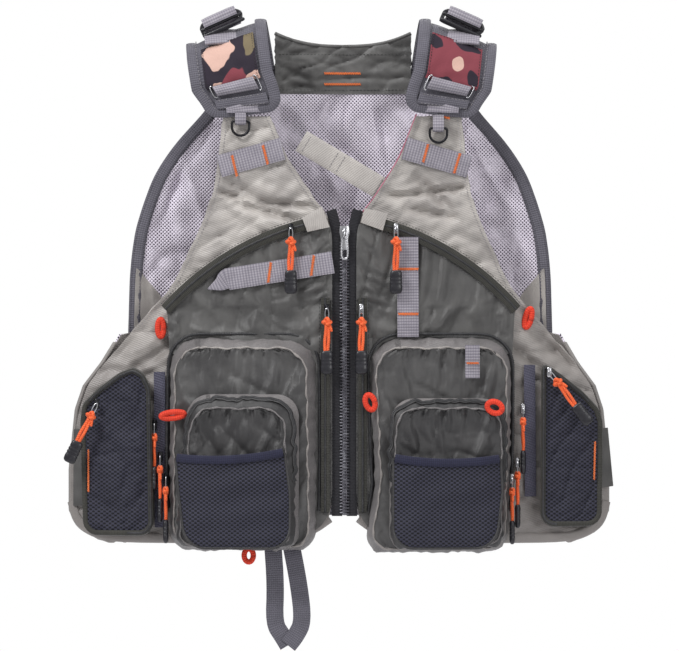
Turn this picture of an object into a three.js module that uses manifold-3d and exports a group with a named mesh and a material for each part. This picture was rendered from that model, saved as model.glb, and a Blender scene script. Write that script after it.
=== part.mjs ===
// Fishing vest: mesh back, two pocketed fronts that open on the side seams, cord zip pulls and padded shoulders.
// Millimetres, +Z up, the front faces -Y and _l is the -X side. The origin is the middle of the shoulder line,
// where a hanger or a wearer carries the vest.
import * as THREE from "three";
import { mergeVertices } from "three/addons/utils/BufferGeometryUtils.js";
import Module from "manifold-3d";

const wasm = await Module();
wasm.setup();

// ---------------------------------------------------------------- driving dimensions
const CLOTH = 3; // thickness of a lined fabric panel
const GAP = 0.4; // clearance between pieces that touch on the real vest
const STANDOFF = 1.2; // clearance between a curved pocket and the curved panel behind it
const ZIP_X = 2.5; // the centre zip hangs this far right of the middle
const SIDE_SHIFT = 5.5; // and the side seams this much further left than the zip
const HEM_HALF = 270; // half width at the hem
const FRONT_Y = -50; // front surface at the centre zip
const BACK_Y = 52; // back surface at the spine
const FALL = 0.12; // how far the surfaces fall back per mm of width
const ROUND = 60; // width of the stretch that rounds towards the side seam
const FRONT_SIDE_Y = -7; // front surface at the side seam
const BACK_SIDE_Y = 12; // back surface at the side seam
const HEM_Z = -500;
const ZIP_TOP_Z = -172;
const ZIP_BOTTOM_Z = -476;
const CHAIN_HALF = 5; // half width of the centre chain, and of its slider
const TAPE_HALF = 10.4; // half width over both zip tapes
const POCKET_TOP_Z = -298; // top of the two large pockets
const POCKET_BOTTOM_Z = -509;
const SMALL_TOP_Z = -354; // top of the small pockets on their fronts
const BIG_DEPTH = 29;
const SMALL_DEPTH = 17;
const CHEST_DEPTH = 8;
const SIDE_DEPTH = 24;
const SIDE_LIFT = 2.2; // a side slider clears the swell of its pocket by this on its way
const BACK_POCKET_DEPTH = 12;
// A diagonal chest zip is a circular arc, seen from the front.
const ARC = { h: -34, z: -453, r: 280, slider: 72 };
const PAD = { width: 83, endWidth: 68, thick: 7, middle: -37.5, rise: 42.5, crestH: 117, endH: 99, tilt: 20 };
const WEBBING = 1.6; // thickness of flat webbing

const SIDES = { l: -1, r: 1 };
const POCKETS = {
  l: { inner: 28, outer: 172, smallInner: 44, smallOuter: 170 },
  r: { inner: 24, outer: 168, smallInner: 44, smallOuter: 163 },
};

const COLOURS = {
  light: [0xa6a39c, 0.75], dark: [0x55564f, 0.6], mesh: [0xb9b3c2, 0.85], navy: [0x2d2f3c, 0.85],
  webbing: [0x8b8793, 0.85], binding: [0x62616a, 0.85], tape: [0x232329, 0.8], plastic: [0x1c1d22, 0.4],
  orange: [0xf2602c, 0.7], metal: [0xc9c9cf, 0.25], black: [0x24282b, 0.35],
};

const vest = new THREE.Group();

// ---------------------------------------------------------------- helpers
const lerp = (a, b, t) => a + (b - a) * t;
const clamp01 = (t) => Math.min(1, Math.max(0, t));

// Value at z of a list of [z, value] points, z falling.
function along(points, z) {
  if (z >= points[0][0]) return points[0][1];
  for (let i = 1; i < points.length; i++) {
    const [za, a] = points[i - 1];
    const [zb, b] = points[i];
    if (z >= zb) return lerp(a, b, (z - za) / (zb - za));
  }
  return points.at(-1)[1];
}

// X of a point h mm out from the centre line on one side.
const atX = (side, h) => side * h + ZIP_X - (SIDE_SHIFT * h) / HEM_HALF;

// Half width of the body at the side seam.
const SIDE_SEAM = [[-290, 222], [-320, 240], [-344, 258], [-368, 266], [-428, 272], [-470, 272], [-500, 268]];
const seamHalf = (z) => along(SIDE_SEAM, z);

// Front and back surfaces of the body, as y over (h, z).
function surface(centreY, sideY, h, z) {
  const seam = seamHalf(z);
  const sign = Math.sign(centreY);
  const plane = centreY - sign * FALL * h;
  const turn = sideY - (centreY - sign * FALL * seam);
  return plane + turn * clamp01((h - (seam - ROUND)) / ROUND) ** 2;
}
const frontY = (h, z) => surface(FRONT_Y, FRONT_SIDE_Y, h, z);
const backY = (h, z) => surface(BACK_Y, BACK_SIDE_Y, h, z);

// A closed solid between two mapped grids, each a function of (u, v) in 0..1.
function patch(us, vs, outer, inner) {
  const cols = us.length;
  const points = [];
  const faces = [];
  for (const face of [outer, inner]) for (const v of vs) for (const u of us) points.push(...face(u, v));
  const layer = cols * vs.length;
  const quad = (a, b, c, d) => faces.push(a, b, c, a, c, d);
  for (let j = 0; j + 1 < vs.length; j++)
    for (let i = 0; i + 1 < cols; i++) {
      const a = j * cols + i;
      quad(a, a + 1, a + cols + 1, a + cols);
      quad(a + layer, a + cols + layer, a + cols + 1 + layer, a + 1 + layer);
    }
  const rim = [];
  for (let i = 0; i < cols; i++) rim.push(i);
  for (let j = 1; j < vs.length; j++) rim.push(j * cols + cols - 1);
  for (let i = cols - 2; i >= 0; i--) rim.push((vs.length - 1) * cols + i);
  for (let j = vs.length - 2; j > 0; j--) rim.push(j * cols);
  rim.forEach((a, k) => {
    const b = rim[(k + 1) % rim.length];
    quad(b, a, a + layer, b + layer);
  });
  return facingOut(points, faces);
}

// A geometry of these points and faces, turned so that its faces point out.
function facingOut(points, faces) {
  const p = (i) => new THREE.Vector3(...points.slice(3 * i, 3 * i + 3));
  let volume = 0;
  for (let i = 0; i < faces.length; i += 3)
    volume += p(faces[i]).dot(p(faces[i + 1]).cross(p(faces[i + 2])));
  if (volume < 0) for (let i = 0; i < faces.length; i += 3) [faces[i], faces[i + 1]] = [faces[i + 1], faces[i]];
  return new THREE.BufferGeometry()
    .setAttribute("position", new THREE.Float32BufferAttribute(points, 3))
    .setIndex(faces);
}

const steps = (n) => Array.from({ length: n + 1 }, (_, i) => i / n);

function add(name, geometry, colour) {
  const [color, roughness] = COLOURS[colour];
  const metalness = colour === "metal" ? 1 : 0;
  const mesh = new THREE.Mesh(geometry, new THREE.MeshStandardMaterial({ color, roughness, metalness }));
  mesh.name = name;
  vest.add(mesh);
  return mesh;
}

// A panel of one side between the edges inner(z) and outer(z), from y near(h, z) to far(h, z).
function panel(side, zs, cols, inner, outer, near, far) {
  const place = (depth) => (u, v) => {
    const z = zs[v];
    const h = lerp(inner(z), outer(z), u);
    return [atX(side, h), depth(h, z, u, v), z];
  };
  return patch(steps(cols), zs.map((_, i) => i), place(near), place(far));
}

// A closed solid of eight-sided sections [x, y, z, half width, half depth] along a line.
function loft(sections) {
  const CORNERS = 8;
  const points = [];
  const faces = [];
  for (const [x, y, z, a, b, out = [1, 0, 0]] of sections)
    for (let k = 0; k < CORNERS; k++) {
      const angle = ((k + 0.5) / CORNERS) * 2 * Math.PI;
      const across = a * Math.cos(angle);
      const deep = b * Math.sin(angle);
      points.push(x + out[0] * across, y + deep, z + out[2] * across);
    }
  for (let s = 0; s + 1 < sections.length; s++)
    for (let k = 0; k < CORNERS; k++) {
      const a = s * CORNERS + k;
      const b = s * CORNERS + ((k + 1) % CORNERS);
      faces.push(a, b, b + CORNERS, a, b + CORNERS, a + CORNERS);
    }
  const last = (sections.length - 1) * CORNERS;
  for (let k = 1; k + 1 < CORNERS; k++) faces.push(0, k + 1, k, last, last + k, last + k + 1);
  return facingOut(points, faces);
}

function toSolid(geometry) {
  const bare = geometry.clone();
  for (const name of ["normal", "uv"]) bare.deleteAttribute(name);
  const merged = mergeVertices(bare, 1e-4);
  return new wasm.Manifold(
    new wasm.Mesh({
      numProp: 3,
      vertProperties: merged.attributes.position.array,
      triVerts: new Uint32Array(merged.index.array),
    }),
  );
}

function fromSolid(solid) {
  const mesh = solid.getMesh();
  return new THREE.BufferGeometry()
    .setAttribute("position", new THREE.BufferAttribute(mesh.vertProperties, 3))
    .setIndex(new THREE.BufferAttribute(mesh.triVerts, 1));
}

const box = (w, d, h, x, y, z) => new THREE.BoxGeometry(w, d, h).translate(x, y, z);

// ---------------------------------------------------------------- back
const ARMHOLE = [
  [-46, 124], [-68, 139], [-80, 149], [-92, 160], [-104, 170], [-116, 178.5], [-128, 186], [-140, 192],
  [-164, 200.5], [-188, 207.5], [-212, 211], [-236, 213], [-290, 214.5],
];
const BINDING = 12; // width of the armhole binding

function makeBack() {
  const ARMHOLE_END = -291;
  const edge = (z) => (z >= ARMHOLE_END ? along(ARMHOLE, z) - BINDING - GAP : seamHalf(z) - 2);
  const upper = [...ARMHOLE.map(([z]) => z), ARMHOLE_END];
  const rows = [...upper, ARMHOLE_END - 2, -320, -344, -368, -428, -485];
  const across = steps(12).map((t) => lerp(-1, 1, t));
  const place = (inset) => (t, v) => {
    const z = rows[v];
    const h = Math.abs(t) * edge(z);
    return [atX(Math.sign(t) || 1, h), backY(h, z) - inset, z];
  };
  const ids = rows.map((_, i) => i);
  add("back_panel", patch(across, ids, place(0), place(CLOTH)), "mesh");

  const bindingRows = upper.slice(1);
  for (const [name, side] of Object.entries(SIDES)) {
    const outer = (z) => along(ARMHOLE, z);
    const inner = (z) => outer(z) - BINDING;
    const near = (h, z) => backY(h, z) - CLOTH - 0.5;
    const far = (h, z) => backY(h, z) + 0.5;
    add(`armhole_binding_${name}`, panel(side, bindingRows, 1, inner, outer, near, far), "binding");
  }
}

// The satin collar across the back of the neck.
function makeYoke() {
  const HALF = 57;
  const DIP = 7; // how far the neckline dips in the middle
  const across = steps(10).map((t) => lerp(-1, 1, t));
  const place = (inset) => (t, v) => {
    const h = Math.abs(t) * HALF;
    const z = lerp(-46, -1 + DIP * t * t, v);
    return [atX(Math.sign(t) || 1, h), backY(h, z) - inset, z];
  };
  add("yoke", patch(across, [0, 0.5, 1], place(0), place(CLOTH)), "dark");
}

// Cargo pocket across the lower back.
function makeBackPocket() {
  const HALF = 165;
  const rows = [-292, -300, -330, -400, -460, -474];
  const narrow = [14, 3, 0, 0, 3, 12];
  const across = steps(8).map((t) => lerp(-1, 1, t));
  const place = (depth) => (t, v) => {
    const h = Math.abs(t) * (HALF - narrow[v]);
    const swell = depth * (0.7 + 0.3 * Math.sin((Math.PI * v) / 5) * (1 - t ** 4));
    return [atX(Math.sign(t) || 1, h), backY(h, rows[v]) + GAP + swell, rows[v]];
  };
  const ids = rows.map((_, i) => i);
  add("back_pocket", patch(across, ids, place(BACK_POCKET_DEPTH), place(0)), "light");
}

// ---------------------------------------------------------------- shoulders
// Point on a pad: t runs from the front end over the crest to the back end, w across it, out from its inner face.
function padPoint(side, t, w, out) {
  const FRONT_Z = -71;
  const BACK_Z = -62;
  const ARC_FROM = 0.3;
  const ARC_TO = 0.75;
  const { middle } = PAD;
  const turn = clamp01((t - ARC_FROM) / (ARC_TO - ARC_FROM));
  const crest = 1 - Math.abs(2 * turn - 1);
  const lean = THREE.MathUtils.degToRad(lerp(6, PAD.tilt, crest));
  const h = lerp(PAD.endH, PAD.crestH, crest ** 0.7) + w * Math.cos(lean);
  const fore = frontY(h, middle) + CLOTH + STANDOFF;
  const aft = backY(h, middle) + STANDOFF;
  const angle = Math.PI * (1 - turn);
  const y = (aft + fore) / 2 + ((aft - fore) / 2 + out) * Math.cos(angle);
  let z = middle + (PAD.rise + out) * Math.sin(angle);
  if (t < ARC_FROM) z = lerp(FRONT_Z, middle, t / ARC_FROM);
  if (t > ARC_TO) z = lerp(middle, BACK_Z, (t - ARC_TO) / (1 - ARC_TO));
  return [atX(side, h), y, z - w * Math.sin(lean)];
}

function makeShoulders() {
  const alongCrest = steps(14);
  for (const [name, side] of Object.entries(SIDES)) {
    const width = (t) => lerp(PAD.endWidth, PAD.width, Math.sin(Math.PI * t) ** 0.5);
    const place = (out) => (u, t) => padPoint(side, t, (u - 0.5) * width(t), out);
    add(`shoulder_pad_${name}`, patch(steps(2), alongCrest, place(PAD.thick), place(0)), "binding");

    // Webbing ladder lock that stands on the crest, where the strap is shortened.
    const LOCK = { width: 42, high: 17, deep: 12, fore: -8 };
    const lockAt = padPoint(side, 0.5, -2, PAD.thick + LOCK.high / 2 + 3.4);
    const lock = box(LOCK.width, LOCK.deep, LOCK.high, 0, 0, 0);
    lock.rotateY(side * THREE.MathUtils.degToRad(PAD.tilt + 4));
    lock.translate(lockAt[0], lockAt[1] + LOCK.fore, lockAt[2]);
    add(`strap_adjuster_${name}`, lock, "plastic");

    makeStrapTop(name, side);
  }
}

const FRONT_EDGE = [
  [-72, 119], [-115, 124], [-151, 129], [-176, 138], [-208, 152], [-226, 160], [-247, 172], [-267, 189],
  [-285, 206], [-299, 217], [-320, 236], [-344, 254], [-368, 262], [-392, 266], [-428, 270], [-464, 271],
  [-484, 266], [-494, 252], [-500, 232],
];
const NECK_EDGE = [
  [-72, 74], [-115, 57], [-140, 41], [-158, 29], [-170, 19], [-182, 13], [-195, 10.9], [-455, 10.9],
  [-478, 16], [-490, 28], [-500, 48],
];
const SPLIT_Z = -108; // the fronts hinge below this line, and the strap above stays with the pad

// The top of a front, where it is sewn to the webbing: it carries the D-ring and its tab.
function makeStrapTop(name, side) {
  const rows = [-76, -84, -96, SPLIT_Z + 1];
  const inner = (z) => along(NECK_EDGE, z);
  const outer = (z) => along(FRONT_EDGE, z);
  const near = (h, z) => frontY(h, z);
  const far = (h, z) => frontY(h, z) + CLOTH;
  add(`strap_top_${name}`, panel(side, rows, 2, inner, outer, near, far), "light");
  const ringZ = name === "l" ? -79 : -86;
  const ringH = name === "l" ? 102 : 96;
  makeRing(`d_ring_${name}`, null, atX(side, ringH), frontY(ringH, ringZ) - 4.4, ringZ, 20, 17);
}

// A D-ring whose straight bar is on y, z, hanging below it; a tab is a webbing loop round the bar.
function makeRing(name, tab, x, y, z, width, high) {
  const WIRE = 2.6;
  const outline = (inset) => {
    const half = width / 2 - inset;
    const top = WIRE / 2 - inset;
    const drop = high - WIRE / 2 - inset - half;
    const path = new (inset ? THREE.Path : THREE.Shape)();
    path.moveTo(-half, top);
    path.lineTo(-half, -drop);
    path.absarc(0, -drop, half, Math.PI, 2 * Math.PI, false);
    path.lineTo(half, top);
    return path;
  };
  const shape = outline(0);
  shape.holes.push(outline(WIRE));
  const ring = new THREE.ExtrudeGeometry(shape, { depth: WIRE, bevelEnabled: false, curveSegments: 10 });
  ring.rotateX(Math.PI / 2).translate(0, WIRE / 2, 0);
  add(name, ring.translate(x, y, z), "black");
  if (!tab) return;
  const TAB = { width: 12, deep: 8.4, high: 20 };
  const block = toSolid(box(TAB.width, TAB.deep, TAB.high, x, y, z + TAB.high / 2 - TAB.deep / 2));
  const bore = new THREE.CylinderGeometry(2.5, 2.5, TAB.width + 2, 12).rotateZ(Math.PI / 2).translate(x, y, z);
  add(tab, fromSolid(block.subtract(toSolid(bore))), "webbing");
}

// ---------------------------------------------------------------- fronts
function makeFront(name, side) {
  const rows = [
    SPLIT_Z, -130, -151, -176, -200, -226, -247, -267, -285, -299, -320, -344, -368, -400, -440, -470, -490, HEM_Z,
  ];
  const inner = (z) => along(NECK_EDGE, z);
  const outer = (z) => along(FRONT_EDGE, z);
  const far = (h, z) => frontY(h, z) + CLOTH;
  add(`front_panel_${name}`, panel(side, rows, 5, inner, outer, frontY, far), "light");
}

// z of the chest zip's arc at h.
const arcZ = (h) => ARC.z + Math.sqrt(ARC.r ** 2 - (h - ARC.h) ** 2);

// Dark satin pocket under the diagonal zip, running down beside the centre zip to the hem.
function makeChestPocket(name, side) {
  const STRIP_TO = POCKETS[name].inner - 1;
  const BODY_END = POCKET_TOP_Z + 2.6;
  const rows = [-184, -192, -202, -215, -230, -250, -270, -284, BODY_END, BODY_END - 2, -400, -470, -484];
  const outer = (z) => {
    if (z < BODY_END) return STRIP_TO;
    const fromArc = ARC.h + Math.sqrt(ARC.r ** 2 - (z - ARC.z) ** 2);
    return Math.min(fromArc, along([[-268, 179], [BODY_END, 168]], z));
  };
  const inner = (z) => along(NECK_EDGE, z) + 0.8;
  const near = (h, z, u, v) => {
    const edge = v === 0 || v === rows.length - 1 ? 0.6 : 1;
    return frontY(h, z) - STANDOFF - CHEST_DEPTH * edge * (u === 0 || u === 1 ? 0.7 : 1);
  };
  const far = (h, z) => frontY(h, z) - STANDOFF;
  add(`chest_pocket_${name}`, panel(side, rows, 4, inner, outer, near, far), "dark");
}

// A bag pocket with round corners that stands out from y base(h, z).
function bagPocket(side, top, bottom, from, to, base, depth) {
  const at = [0, 0.04, 0.12, 0.3, 0.6, 0.88, 0.96, 1];
  const corner = [30, 13, 3, 0, 0, 2, 7, 16];
  const zs = at.map((t) => lerp(top, bottom, t));
  const inset = (z) => corner[zs.indexOf(z)];
  const inner = (z) => from + inset(z);
  const outer = (z) => to - inset(z);
  const swell = (u, v) => depth * (0.72 + 0.28 * Math.sin(Math.PI * u) * Math.sin((Math.PI * v) / 7));
  const near = (h, z, u, v) => base(h, z) - swell(u, v);
  return panel(side, zs, 4, inner, outer, near, base);
}

function makePockets(name, side) {
  const p = POCKETS[name];
  const bigBase = (h, z) => frontY(h, z) - STANDOFF;
  const smallBase = (h, z) => bigBase(h, z) - BIG_DEPTH - GAP;
  add(`big_pocket_${name}`, bagPocket(side, POCKET_TOP_Z, POCKET_BOTTOM_Z, p.inner, p.outer, bigBase, BIG_DEPTH), "dark");
  const smallBottom = POCKET_BOTTOM_Z + 4;
  const small = bagPocket(side, SMALL_TOP_Z, smallBottom, p.smallInner, p.smallOuter, smallBase, SMALL_DEPTH);
  add(`small_pocket_${name}`, small, "dark");

  // Mesh pocket at the side, with its top sloping down towards the seam.
  const rows = name === "l" ? [-329, -340, -360, -374, -420, -470, -488] : [-326, -338, -358, -372, -420, -464, -479];
  const SIDE_OUTER = [[rows[0], 222], [rows[1], 236], [rows[3], 258], [rows[4], 261], [rows[6], 258]];
  const outer = (z) => along(SIDE_OUTER, z);
  const inner = () => 190;
  const near = (h, z, u, v) => {
    const row = v === 0 || v === rows.length - 1 ? 0.6 : 1;
    return frontY(h, z) - STANDOFF - SIDE_DEPTH * row * (u === 0 || u === 1 ? 0.7 : 1);
  };
  add(`side_pocket_${name}`, panel(side, rows, 4, inner, outer, near, bigBase), "navy");
}

// Flat webbing laid on the front: a strip centred on (h, z), turned by angle degrees, and resting on y base.
function webbing(name, side, h, z, length, wide, angle, base) {
  const turn = THREE.MathUtils.degToRad(angle);
  const place = (out) => (u, v) => {
    const a = (u - 0.5) * length;
    const b = (v - 0.5) * wide;
    const hh = h + a * Math.cos(turn) - b * Math.sin(turn);
    const zz = z + a * Math.sin(turn) + b * Math.cos(turn);
    return [atX(side, hh), base(hh, zz) - out, zz];
  };
  add(name, patch([0, 1], [0, 1], place(GAP + WEBBING), place(GAP)), "webbing");
}

function makeWebbing() {
  const onChest = (h, z) => frontY(h, z) - STANDOFF - CHEST_DEPTH;
  for (const [name, side] of Object.entries(SIDES))
    webbing(`shoulder_band_${name}`, side, 94, -119, 62, 21, -22, frontY);
  webbing("chest_webbing_l", -1, 67, -230, 108, 22, -6.5, onChest);
  webbing("chest_webbing_r", 1, 63, -247, 21, 94, 0, onChest);
}

// ---------------------------------------------------------------- centre zip
function makeCentreZip() {
  const rows = [ZIP_TOP_Z, ZIP_BOTTOM_Z];
  const strip = (from, to, out) =>
    patch(
      [from, to],
      rows,
      (x, z) => [ZIP_X + x, FRONT_Y - out, z],
      (x, z) => [ZIP_X + x, FRONT_Y + 1.5, z],
    );
  add("zip_tape_l", strip(-TAPE_HALF, -CHAIN_HALF - GAP, 0), "tape");
  add("zip_tape_r", strip(CHAIN_HALF + 1.2, TAPE_HALF, 0), "tape");
  add("zip_chain", strip(-CHAIN_HALF, CHAIN_HALF, 1.2), "tape");
  const y = FRONT_Y - 1.2 - GAP;
  const slider = [
    [ZIP_X, y - 2, -200, 3.2, 1.6], [ZIP_X, y - 2, -197, 3.6, 2.0], [ZIP_X, y - 2, -190, 4.9, 2.1], [ZIP_X, y - 2, -186, 4.6, 1.9],
  ];
  add("main_slider", loft(slider), "metal");
  const tab = [
    [ZIP_X, y - 5.4, -217.5, 3.6, 0.7], [ZIP_X, y - 5.4, -214, 4.3, 0.8], [ZIP_X, y - 5.4, -198, 3.8, 0.8],
    [ZIP_X, y - 5.4, -189, 2.4, 0.8],
  ];
  add("main_pull", loft(tab), "metal");
}

// ---------------------------------------------------------------- cord pulls
// Stations down a cord pull: [distance, half width, half depth], ending in the moulded grip.
const PULL = [[-1.5, 1.6, 0.8], [8, 2.2, 0.9], [9.5, 5, 3], [13, 6, 3.4], [16.5, 4.6, 3], [18, 3.2, 1.9], [41, 3.2, 1.9],
  [42.5, 6, 2.8], [62, 6.4, 2.8], [65, 4.6, 2.2]];
const SLIDER = { halfWidth: 2.6, halfDepth: 1.5, half: 5 };
const NARROW = 0.8; // an edge-on grip is that much thinner, to clear the next one

// A slider at (x, y, z) and the cord pull that hangs from it, leaning by degrees out of vertical, turned flat or edge on.
function makeZipPull(name, x, y, z, lean = 0, edgeOn = false) {
  const { halfWidth, halfDepth, half } = SLIDER;
  add(`slider_${name}`, loft([-half, -2, 2, half].map((d) => [x, y, z + d, halfWidth, halfDepth])), "metal");
  const angle = THREE.MathUtils.degToRad(lean);
  const down = [Math.sin(angle), 0, -Math.cos(angle)];
  const out = [Math.cos(angle), 0, Math.sin(angle)];
  const front = y - halfDepth - GAP - (edgeOn ? 6.6 : 3.6);
  const sections = PULL.map(([d, wide, deep]) => {
    const size = edgeOn ? [deep * NARROW, wide] : [wide, deep];
    return [x + down[0] * d, front, z + down[2] * d, ...size, out];
  });
  add(`pull_${name}`, loft(sections), "orange");
}

function makePulls() {
  for (const [name, side] of Object.entries(SIDES)) {
    const angle = THREE.MathUtils.degToRad(ARC.slider);
    const h = ARC.h + ARC.r * Math.cos(angle);
    const z = ARC.z + ARC.r * Math.sin(angle);
    const lift = STANDOFF + CHEST_DEPTH + GAP + WEBBING + GAP + SLIDER.halfDepth;
    makeZipPull(`upper_${name}`, atX(side, h), frontY(h, z) - lift, z);
    makeZipPull(`centre_${name}`, atX(side, 17.2), frontY(17.2, -267) - lift, -267);
    const sideAt = name === "l" ? { h: 243, z: -362, lean: -26 } : { h: 209, z: -330, lean: 38 };
    const sideY = frontY(sideAt.h, sideAt.z) - STANDOFF - SIDE_DEPTH - SIDE_LIFT - SLIDER.halfDepth;
    makeZipPull(`side_${name}`, atX(side, sideAt.h), sideY, sideAt.z, sideAt.lean);

    // Three edge-on pulls side by side in the crease between the side pocket and the large one.
    const lane = name === "l" ? [186.6, 180.8, 175] : [182.6, 176.8, 171];
    const from = name === "l" ? [-383, -415, -436] : [-367, -421, -437];
    const stack = [4, 9, 14];
    ["big_a", "big_b", "small"].forEach((zip, i) => {
      const y = frontY(lane[i], from[i]) - 2.4 - stack[i];
      makeZipPull(`${zip}_${name}`, atX(side, lane[i]), y, from[i], 0, true);
    });
  }
}

// ---------------------------------------------------------------- loose straps
// Folded webbing loop under the left hem, for a rod butt.
function makeRodLoop() {
  const shape = new THREE.Shape();
  const outer = [[-77, -502], [-78, -550], [-77.5, -584], [-54, -609], [-31, -588], [-34, -550], [-42, -502]];
  const slit = [[-61, -510], [-51.5, -544], [-48, -588], [-57.5, -587], [-58.5, -544]];
  outer.forEach(([x, z], i) => (i ? shape.lineTo(x, z) : shape.moveTo(x, z)));
  const hole = new THREE.Path();
  slit.forEach(([x, z], i) => (i ? hole.lineTo(x, z) : hole.moveTo(x, z)));
  shape.holes.push(hole);
  const loop = new THREE.ExtrudeGeometry(shape, { depth: 1.8, bevelEnabled: false });
  add("rod_loop", loop.rotateX(Math.PI / 2).translate(0, FRONT_Y + 13, 0), "webbing");
}

// Chest strap sewn inside the right front and lying across the neck opening.
function makeChestStrap() {
  const ends = [{ x: 36, z: -144 }, { x: -41, z: -98 }];
  const [from, to] = ends;
  const length = Math.hypot(to.x - from.x, to.z - from.z);
  const across = [(to.z - from.z) / length, -(to.x - from.x) / length];
  const WIDE = 23;
  const y = (x) => lerp(FRONT_Y + 14, FRONT_Y + 26, clamp01((from.x - x) / 80));
  const place = (out) => (u, v) => {
    const x = lerp(from.x, to.x, v) + across[0] * (u - 0.5) * WIDE;
    const z = lerp(from.z, to.z, v) + across[1] * (u - 0.5) * WIDE;
    return [x, y(x) - out, z];
  };
  add("chest_strap", patch([0, 1], steps(3), place(2), place(0)), "light");
}

makeBack();
makeYoke();
makeBackPocket();
makeShoulders();
for (const [name, side] of Object.entries(SIDES)) {
  makeFront(name, side);
  makeChestPocket(name, side);
  makePockets(name, side);
}
makeWebbing();
makeCentreZip();
makePulls();
makeRodLoop();
makeChestStrap();
makeRing("net_ring", "net_ring_tab", ZIP_X, BACK_Y + 6.5, -58, 26, 22);

export default vest;
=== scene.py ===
"""Fishing vest: its cloth, zips, cords and webbing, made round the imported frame.

Lengths are in millimetres until piece() turns them into metres. X is to the right, the front faces -Y,
+Z is up, and "_l" is the -X side. h is a distance out from the centre zip, on either side.
"""
import math

import bpy
import numpy as np
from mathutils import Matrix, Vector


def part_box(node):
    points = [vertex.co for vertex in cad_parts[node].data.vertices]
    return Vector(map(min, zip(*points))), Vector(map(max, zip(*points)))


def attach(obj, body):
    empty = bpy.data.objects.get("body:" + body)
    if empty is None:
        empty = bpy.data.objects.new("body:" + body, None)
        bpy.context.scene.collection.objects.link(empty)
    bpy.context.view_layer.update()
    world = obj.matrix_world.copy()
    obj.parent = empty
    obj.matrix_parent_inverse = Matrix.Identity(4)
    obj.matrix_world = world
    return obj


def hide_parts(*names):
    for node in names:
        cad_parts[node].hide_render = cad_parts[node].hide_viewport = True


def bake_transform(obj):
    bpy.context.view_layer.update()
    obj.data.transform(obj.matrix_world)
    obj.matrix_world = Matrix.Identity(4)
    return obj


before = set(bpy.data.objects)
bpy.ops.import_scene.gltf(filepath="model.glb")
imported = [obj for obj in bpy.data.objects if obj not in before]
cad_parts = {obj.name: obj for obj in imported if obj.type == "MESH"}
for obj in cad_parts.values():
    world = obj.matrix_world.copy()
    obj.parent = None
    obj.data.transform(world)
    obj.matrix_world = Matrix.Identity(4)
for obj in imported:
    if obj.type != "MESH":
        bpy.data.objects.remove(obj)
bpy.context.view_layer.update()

MM = 0.001
SIDES = {"l": -1, "r": 1}
TOWARDS_FRONT = np.array([0.0, -1.0, 0.0])

# ------------------------------------------------------------------ the frame's own dimensions
CLOTH = 3
STANDOFF = 1.2
ZIP_X = 2.5
SIDE_SHIFT = 5.5
HEM_HALF = 270
FRONT_Y = -50
BACK_Y = 52
FALL = 0.12
ROUND = 60
FRONT_SIDE_Y = -7
BACK_SIDE_Y = 12
CHEST_DEPTH = 8
SIDE_DEPTH = 24
SIDE_LIFT = 2.2
GAP = 0.4
WEBBING = 1.6
SLIDER_HALF = 1.5
ARC = {"h": -34, "z": -453, "r": 280, "slider": 72}
PAD = {"width": 83, "end_width": 68, "thick": 7, "middle": -37.5, "rise": 42.5, "crest_h": 117, "end_h": 99}

SIDE_SEAM = [(-290, 222), (-320, 240), (-344, 258), (-368, 266), (-428, 272), (-470, 272), (-500, 268)]
ARMHOLE = [
    (-46, 124), (-68, 139), (-80, 149), (-92, 160), (-104, 170), (-116, 178.5), (-128, 186), (-140, 192),
    (-164, 200.5), (-188, 207.5), (-212, 211), (-236, 213), (-290, 214.5),
]
FRONT_EDGE = [
    (-72, 119), (-115, 124), (-151, 129), (-176, 138), (-208, 152), (-226, 160), (-247, 172), (-267, 189),
    (-285, 206), (-299, 217), (-320, 236), (-344, 254), (-368, 262), (-392, 266), (-428, 270), (-464, 271),
    (-484, 266), (-494, 252), (-500, 232),
]
NECK_EDGE = [
    (-72, 74), (-115, 57), (-140, 41), (-158, 29), (-170, 19), (-182, 13), (-195, 10.9), (-455, 10.9),
    (-478, 16), (-490, 28), (-500, 48),
]


def along(points, z):
    """Value at z of a list of (z, value) points, z falling."""
    zs, values = zip(*points)
    return np.interp(-np.asarray(z, float), [-a for a in zs], values)


def smooth_along(points, z, window=7):
    """The same, with the corners rounded off."""
    z = np.asarray(z, float)
    reach = np.minimum(window, np.minimum(abs(z - points[0][0]), abs(z - points[-1][0])))
    return sum(along(points, z + k * reach) for k in (-1, -0.5, 0, 0.5, 1)) / 5


def at_x(side, h):
    return side * h + ZIP_X - SIDE_SHIFT * h / HEM_HALF


def out_h(side, x):
    return (x - ZIP_X) / (side - SIDE_SHIFT / HEM_HALF)


def surface(centre_y, side_y, h, z):
    sign = math.copysign(1, centre_y)
    seam = along(SIDE_SEAM, z)
    turn = side_y - (centre_y - sign * FALL * seam)
    return centre_y - sign * FALL * h + turn * np.clip((h - (seam - ROUND)) / ROUND, 0, 1) ** 2


def front_y(h, z):
    return surface(FRONT_Y, FRONT_SIDE_Y, h, z)


def back_y(h, z):
    return surface(BACK_Y, BACK_SIDE_Y, h, z)


def front_at(x, z):
    """Front surface at (x, z)."""
    x = np.asarray(x, float)
    return front_y(out_h(np.where(x < ZIP_X, -1, 1), x), z)


def back_at(x, z):
    x = np.asarray(x, float)
    return back_y(out_h(np.where(x < ZIP_X, -1, 1), x), z)


# ------------------------------------------------------------------ noise and shapes
def unit(v):
    return v / np.maximum(np.linalg.norm(v, axis=-1, keepdims=True), 1e-9)


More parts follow.
